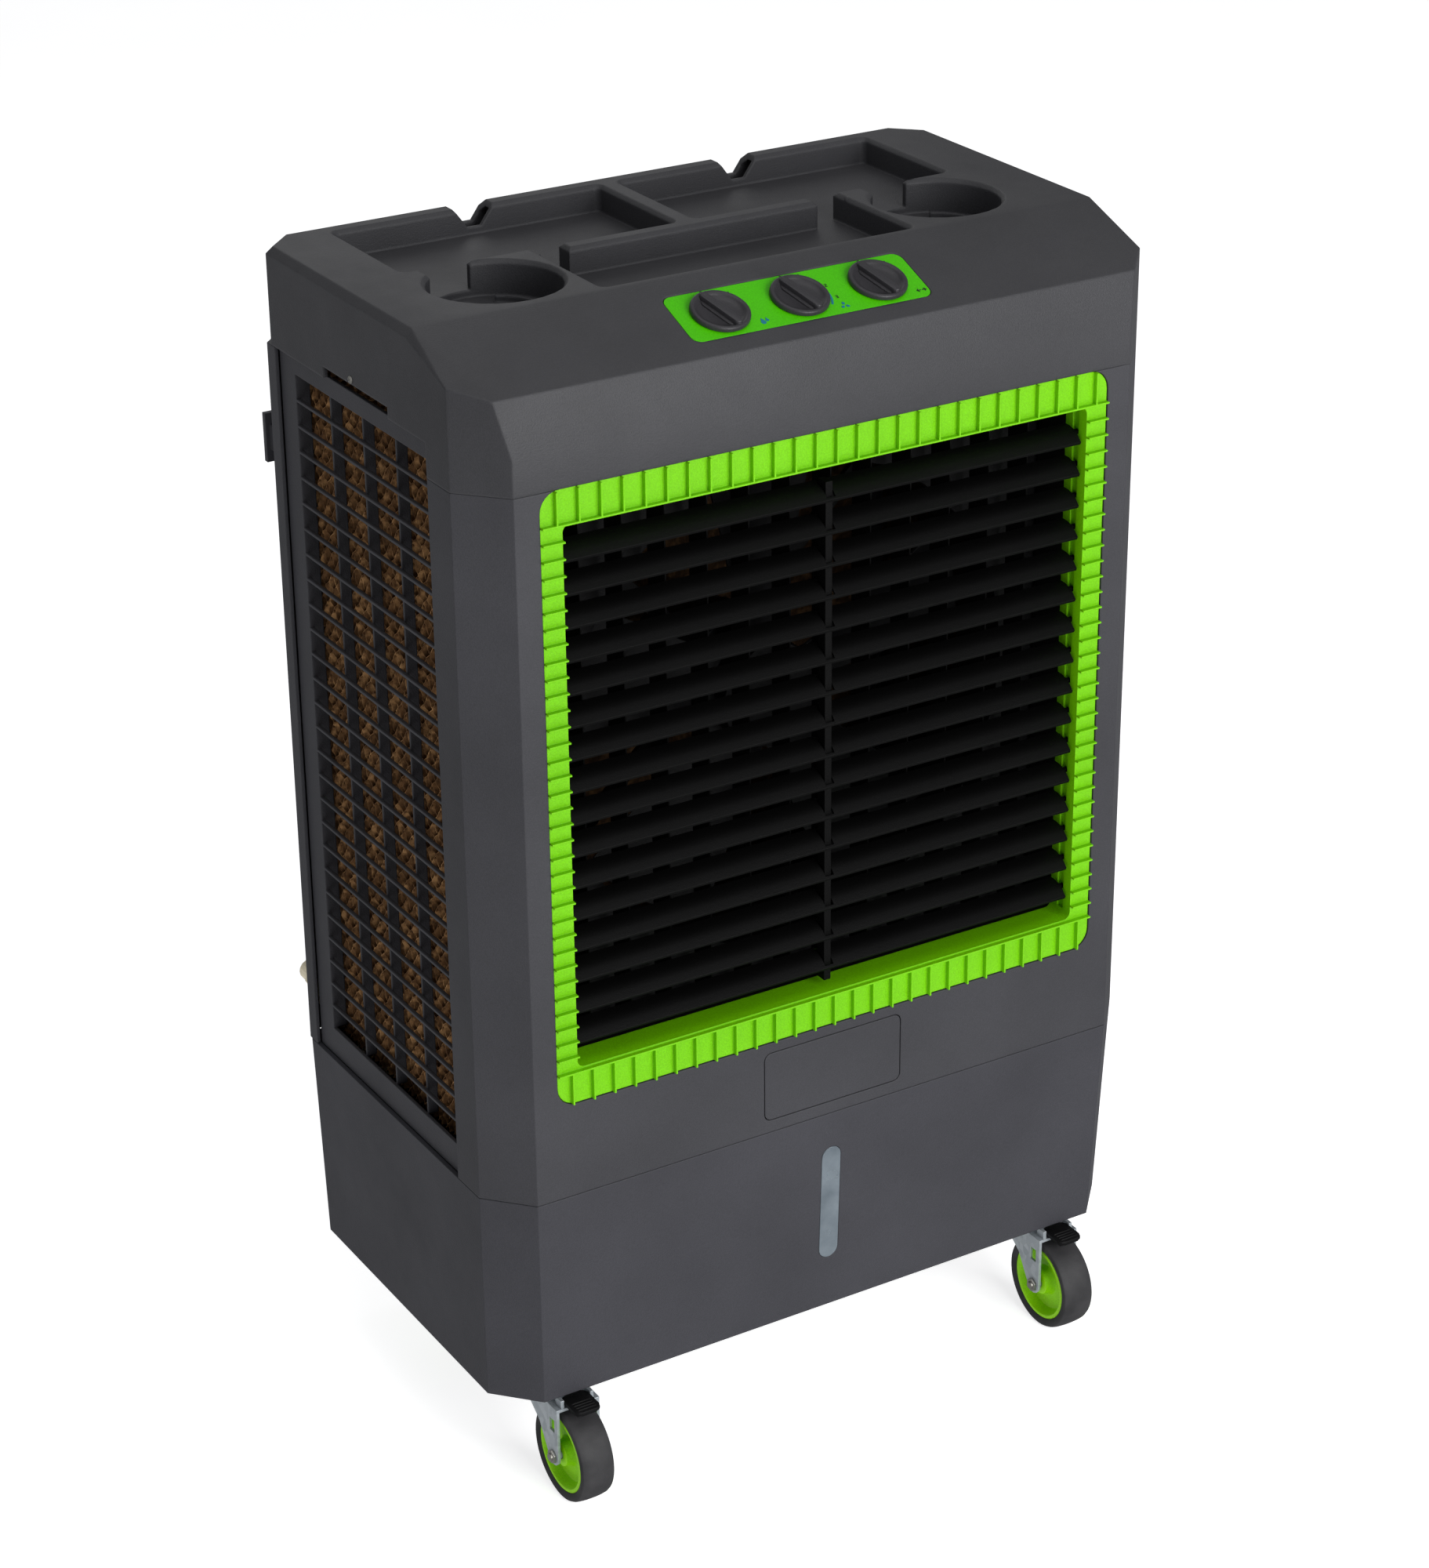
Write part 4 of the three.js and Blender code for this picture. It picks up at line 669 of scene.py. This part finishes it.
# ---- Knobs ----
KNOB_PROFILE = [
    (0, 0.3), (22.7, 0.3), (23.2, 0.8), (23.2, 2.8), (22.9, 3.8), (22.2, 4.4), (21.2, 4.6), (20.1, 4.3),
    (18.9, 3.2), (17.2, 1.7), (14, 1.0), (0, 0.8),
]
STEM_PROFILE = [(0, -15), (4, -15), (4, 1), (0, 1)]
GRIP_TURN = 18
GRIP_FLOOR = 0.9
GRIP_BAR = rounded_outline(-3.2, 3.2, -20.6, 20.6, 3.1, 5)
GRIP_BAR_TOP = 6.4
GRIP_FOOT = rounded_outline(-5.4, 5.4, -18.0, 18.0, 5.2, 5)
GRIP_FOOT_TOP = 2.4


def dial_place(name):
    """A knob's own axes: X to the right, Y up the slope, Z out along its joint."""
    joint = next(j for j in frame["joints"] if j["name"] == name + "_turn")
    axis = Vector(joint["axis"]).normalized()
    across = Vector((1, 0, 0))
    return placed(Vector(joint["pos_m"]), across, axis.cross(across), axis)


def knob(name):
    place = dial_place(name)
    turned = place @ Matrix.Rotation(math.radians(GRIP_TURN), 4, "Z")
    build = Build().lathe(KNOB_PROFILE, place, ROUND_STEPS).lathe(STEM_PROFILE, place, SMALL_STEPS)
    build.prism(GRIP_BAR, GRIP_FLOOR, GRIP_BAR_TOP, turned, bevel=1.1, segments=3)
    build.prism(GRIP_FOOT, GRIP_FLOOR, GRIP_FOOT_TOP, turned, bevel=1.2, segments=3)
    build.finish(name + "_shape", [KNOB], name + "_body", "knob", [name])


for knob_name in ("pump_knob", "fan_speed_knob", "swing_knob"):
    knob(knob_name)


# ---- Marks printed on the control plate ----
PLATE_TOP = -0.1  # from the slope's plane, which the knobs' joints lie on
INK_LOW = PLATE_TOP - 0.1
INK_HIGH = PLATE_TOP + 0.25
DARK, BLUE = 0, 1  # material slots of the marks
STROKE = 0.7
DIGIT_STROKE = 0.45
DIGIT_SIZE = 1.4
DIGITS = {  # strokes on a grid one wide and two high
    "0": [(0, 0, 1, 0), (1, 0, 1, 2), (1, 2, 0, 2), (0, 2, 0, 0)],
    "1": [(0.5, 0, 0.5, 2), (0.5, 2, 0.15, 1.6)],
    "2": [(0, 2, 1, 2), (1, 2, 1, 1), (1, 1, 0, 1), (0, 1, 0, 0), (0, 0, 1, 0)],
    "3": [(0, 2, 1, 2), (1, 2, 1, 0), (0, 1, 1, 1), (0, 0, 1, 0)],
}
# Marks round each dial, from its middle: a digit or size, then its place.
TWO_WAY_DIGITS = [("0", -2.0, 24.4), ("1", 18.6, 18.6)]
SPEED_DIGITS = [("0", -2.0, 24.4), ("1", 13.0, 22.6), ("2", 27.0, 6.0), ("3", 28.4, -8.5)]
DROPS = [(4.2, 27.5, -18.5), (2.6, 31.5, -17.0)]
SPEED_ARC_RADIUS = 24.4
SPEED_ARC_TURN = (66, -34)
SPEED_ARC_WIDTH = (0.2, 1.7)
FAN_MARK = (29.5, -18.0)
BLADE_SIZE = 4.0
SWING_MARK = (29, -18)
ARROW_TAIL = 0.8
ARROW_REACH = 4
ARROW_BARB = 1.52  # back along the arrow from its tip
ARROW_RISE = 1.4


def printed(build, place, outline, material):
    build.prism(outline, INK_LOW, INK_HIGH, place, material=material)


def stroke(build, place, x0, y0, x1, y1, width=STROKE):
    """A straight line with rounded ends."""
    half = width / 2
    turn = math.atan2(y1 - y0, x1 - x0)
    along = place @ Matrix.Translation(Vector((x0, y0, 0)) * MM) @ Matrix.Rotation(turn, 4, "Z")
    length = math.hypot(x1 - x0, y1 - y0)
    printed(build, along, rounded_outline(-half, length + half, -half, half, width * 0.45, 3), DARK)


def digits(build, place, marks):
    for text, x, y in marks:
        for x0, y0, x1, y1 in DIGITS[text]:
            stroke(build, place, x + x0 * DIGIT_SIZE, y + y0 * DIGIT_SIZE,
                   x + x1 * DIGIT_SIZE, y + y1 * DIGIT_SIZE, DIGIT_STROKE)


def swept_arc(radius, turns, widths, steps=20):
    """A band outside a radius, which turns and widens from start to end."""
    inner, outer = [], []
    for k in range(steps + 1):
        t = k / steps
        turn = math.radians(turns[0] + (turns[1] - turns[0]) * t)
        width = widths[0] + (widths[1] - widths[0]) * t
        inner.append((radius * math.cos(turn), radius * math.sin(turn)))
        outer.append(((radius + width) * math.cos(turn), (radius + width) * math.sin(turn)))
    return inner + outer[::-1]


def drop_icon(size, x, y, steps=14):
    """A round drop that comes to a point at its top."""
    points = []
    for k in range(steps + 1):
        turn = math.radians(-220 + 260 * k / steps)
        points.append((x + size * 0.5 * math.cos(turn), y + size * 0.5 * math.sin(turn)))
    return points + [(x, y + size * 1.15)]


def blade_icon(x, y, size, turn, steps=12):
    """An oval blade that points away from the fan's middle."""
    points = []
    for k in range(steps):
        a = 2 * math.pi * k / steps
        along, aside = size * (0.62 + 0.38 * math.cos(a)), size * 0.3 * math.sin(a)
        points.append((x + along * math.cos(turn) - aside * math.sin(turn),
                       y + along * math.sin(turn) + aside * math.cos(turn)))
    return points


def swing_arrows(build, place):
    """Two arrows that point away from each other."""
    x, y = SWING_MARK
    for side in (-1, 1):
        tip = x + side * ARROW_REACH
        stroke(build, place, tip, y, x + side * ARROW_TAIL, y)
        for rise in (ARROW_RISE, -ARROW_RISE):
            stroke(build, place, tip, y, tip - side * ARROW_BARB, y + rise)


def plate_marks():
    build = Build()
    left, middle, right = (dial_place(name) for name in ("pump_knob", "fan_speed_knob", "swing_knob"))
    digits(build, left, TWO_WAY_DIGITS)
    digits(build, right, TWO_WAY_DIGITS)
    digits(build, middle, SPEED_DIGITS)
    printed(build, middle, swept_arc(SPEED_ARC_RADIUS, SPEED_ARC_TURN, SPEED_ARC_WIDTH), BLUE)
    for drop in DROPS:
        printed(build, left, drop_icon(*drop), BLUE)
    for k in range(3):
        printed(build, middle, blade_icon(*FAN_MARK, BLADE_SIZE, math.radians(90 + 120 * k)), BLUE)
    swing_arrows(build, right)
    build.finish("plate_marks", [INK, INK_BLUE], "housing", "green")


plate_marks()


# ---- Screw over the left pad frame ----
SCREW_AT = working(-305, 191, 816)
SCREW_PROFILE = [(0, -1.5), (3.1, -1.5), (3.1, 0.5), (2.6, 1.1), (1.2, 1.4), (0, 1.4)]
CROSS_TURN = 0.4
CROSS_REACH = 2.0
CROSS_HALF = 0.3
CROSS_LOW, CROSS_HIGH = 1.0, 1.55
SCREW_STEPS = 32


def side_screw():
    place = Matrix.Translation(SCREW_AT) @ AGAINST_X
    build = Build().lathe(SCREW_PROFILE, place, SCREW_STEPS)
    for turn in (CROSS_TURN, CROSS_TURN + math.pi / 2):
        arm = place @ Matrix.Rotation(turn, 4, "Z")
        low, high = (-CROSS_REACH, -CROSS_HALF, CROSS_LOW), (CROSS_REACH, CROSS_HALF, CROSS_HIGH)
        build.block(low, high, arm, bevel=0.1, material=1)
    build.finish("side_screw", [SCREW, BLACK], "housing", "zinc")


side_screw()


# ---- Brake pedals: rounded levers with a ribbed top, over the front tyres ----
PEDAL_FRONT, PEDAL_REAR = -29.5, -0.5
PEDAL_LOW, PEDAL_HIGH = -5.0, -1.4
PEDAL_CORNER = 5.0
UNDER_RIB_LOW = (-26, -7.4)
UNDER_RIB_HIGH = (-13, -4.6)
UNDER_RIB_INSET = 2
TREAD_COUNT = 4
TREAD_FRONT = -26
TREAD_PITCH = 3.4
TREAD_WIDTH = 1.3
TREAD_LOW, TREAD_HIGH = -1.8, -0.8
TREAD_INSET = 3


def pedal(corner):
    """Measured from the rear top edge of the CAD pedal."""
    node = "brake_pedal_" + corner
    low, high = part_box(node)
    place = Matrix.Translation(Vector((middle_of(node).x, high.y, high.z)))
    half = (high.x - low.x) / 2 / MM
    build = Build()
    outline = rounded_outline(-half, half, PEDAL_FRONT, PEDAL_REAR, PEDAL_CORNER)
    build.prism(outline, PEDAL_LOW, PEDAL_HIGH, place, bevel=1.2, segments=3)
    rib = half - UNDER_RIB_INSET
    build.block((-rib, *UNDER_RIB_LOW), (rib, *UNDER_RIB_HIGH), place, bevel=0.8)
    tread = half - TREAD_INSET
    for k in range(TREAD_COUNT):
        y = TREAD_FRONT + TREAD_PITCH * k
        build.block((-tread, y, TREAD_LOW), (tread, y + TREAD_WIDTH, TREAD_HIGH), place, bevel=0.4)
    build.finish("pedal_shape_" + corner, [BLACK], "pedal_" + corner, "black_plastic", [node])


for corner in BRAKED_CORNERS:
    pedal(corner)


# ---- Axle nuts ----
NUT_RADIUS = 6.2
NUT_THICK = 2.6
NUT_FROM_MIDDLE = 19.6
AXLE_END_PROFILE = [(0, 2.4), (3.6, 2.4), (3.6, 3.6), (3.0, 4.2), (0, 4.2)]
HEXAGON = [(NUT_RADIUS * math.cos(math.pi * k / 3), NUT_RADIUS * math.sin(math.pi * k / 3)) for k in range(6)]


def axle_nuts(corner):
    middle = middle_of("caster_wheel_" + corner)
    for side, turn, side_name in ((-1, AGAINST_X, "_left"), (1, ALONG_X, "_right")):
        place = Matrix.Translation(middle + Vector((side * NUT_FROM_MIDDLE * MM, 0, 0))) @ turn
        build = Build()
        build.prism(HEXAGON, 0.0, NUT_THICK, place, bevel=0.5)
        build.lathe(AXLE_END_PROFILE, place, SMALL_STEPS)
        build.finish("axle_nut_" + corner + side_name, [SCREW], "fork_" + corner, "zinc")


for corner in CORNERS:
    axle_nuts(corner)


# ---- Floor ----
FLOOR_REACH = 8.0
FLOOR_GLOW = 0.72
FLOOR_TONES = [(0.3, (0.86, 0.86, 0.865, 1)), (0.7, (0.9, 0.9, 0.905, 1))]


def make_floor():
    """A pale floor that glows a little, so that it stays white away from the lights."""
    mesh = bpy.data.meshes.new("floor")
    corners = [(x * FLOOR_REACH, y * FLOOR_REACH, 0) for x, y in ((-1, -1), (1, -1), (1, 1), (-1, 1))]
    mesh.from_pydata(corners, [], [(0, 1, 2, 3)])
    floor = bpy.data.objects.new("floor", mesh)
    bpy.context.scene.collection.objects.link(floor)
    s = Shader("floor_matte")
    s.paint(s.ramp(s.noise(scale=2.0, detail=4.0), FLOOR_TONES))
    s.set_input("Roughness", 0.9)
    s.set_input("Emission Color", (1, 1, 1, 1))
    s.set_input("Emission Strength", FLOOR_GLOW)
    mesh.materials.append(s.material)
    floor.visible_glossy = False


make_floor()
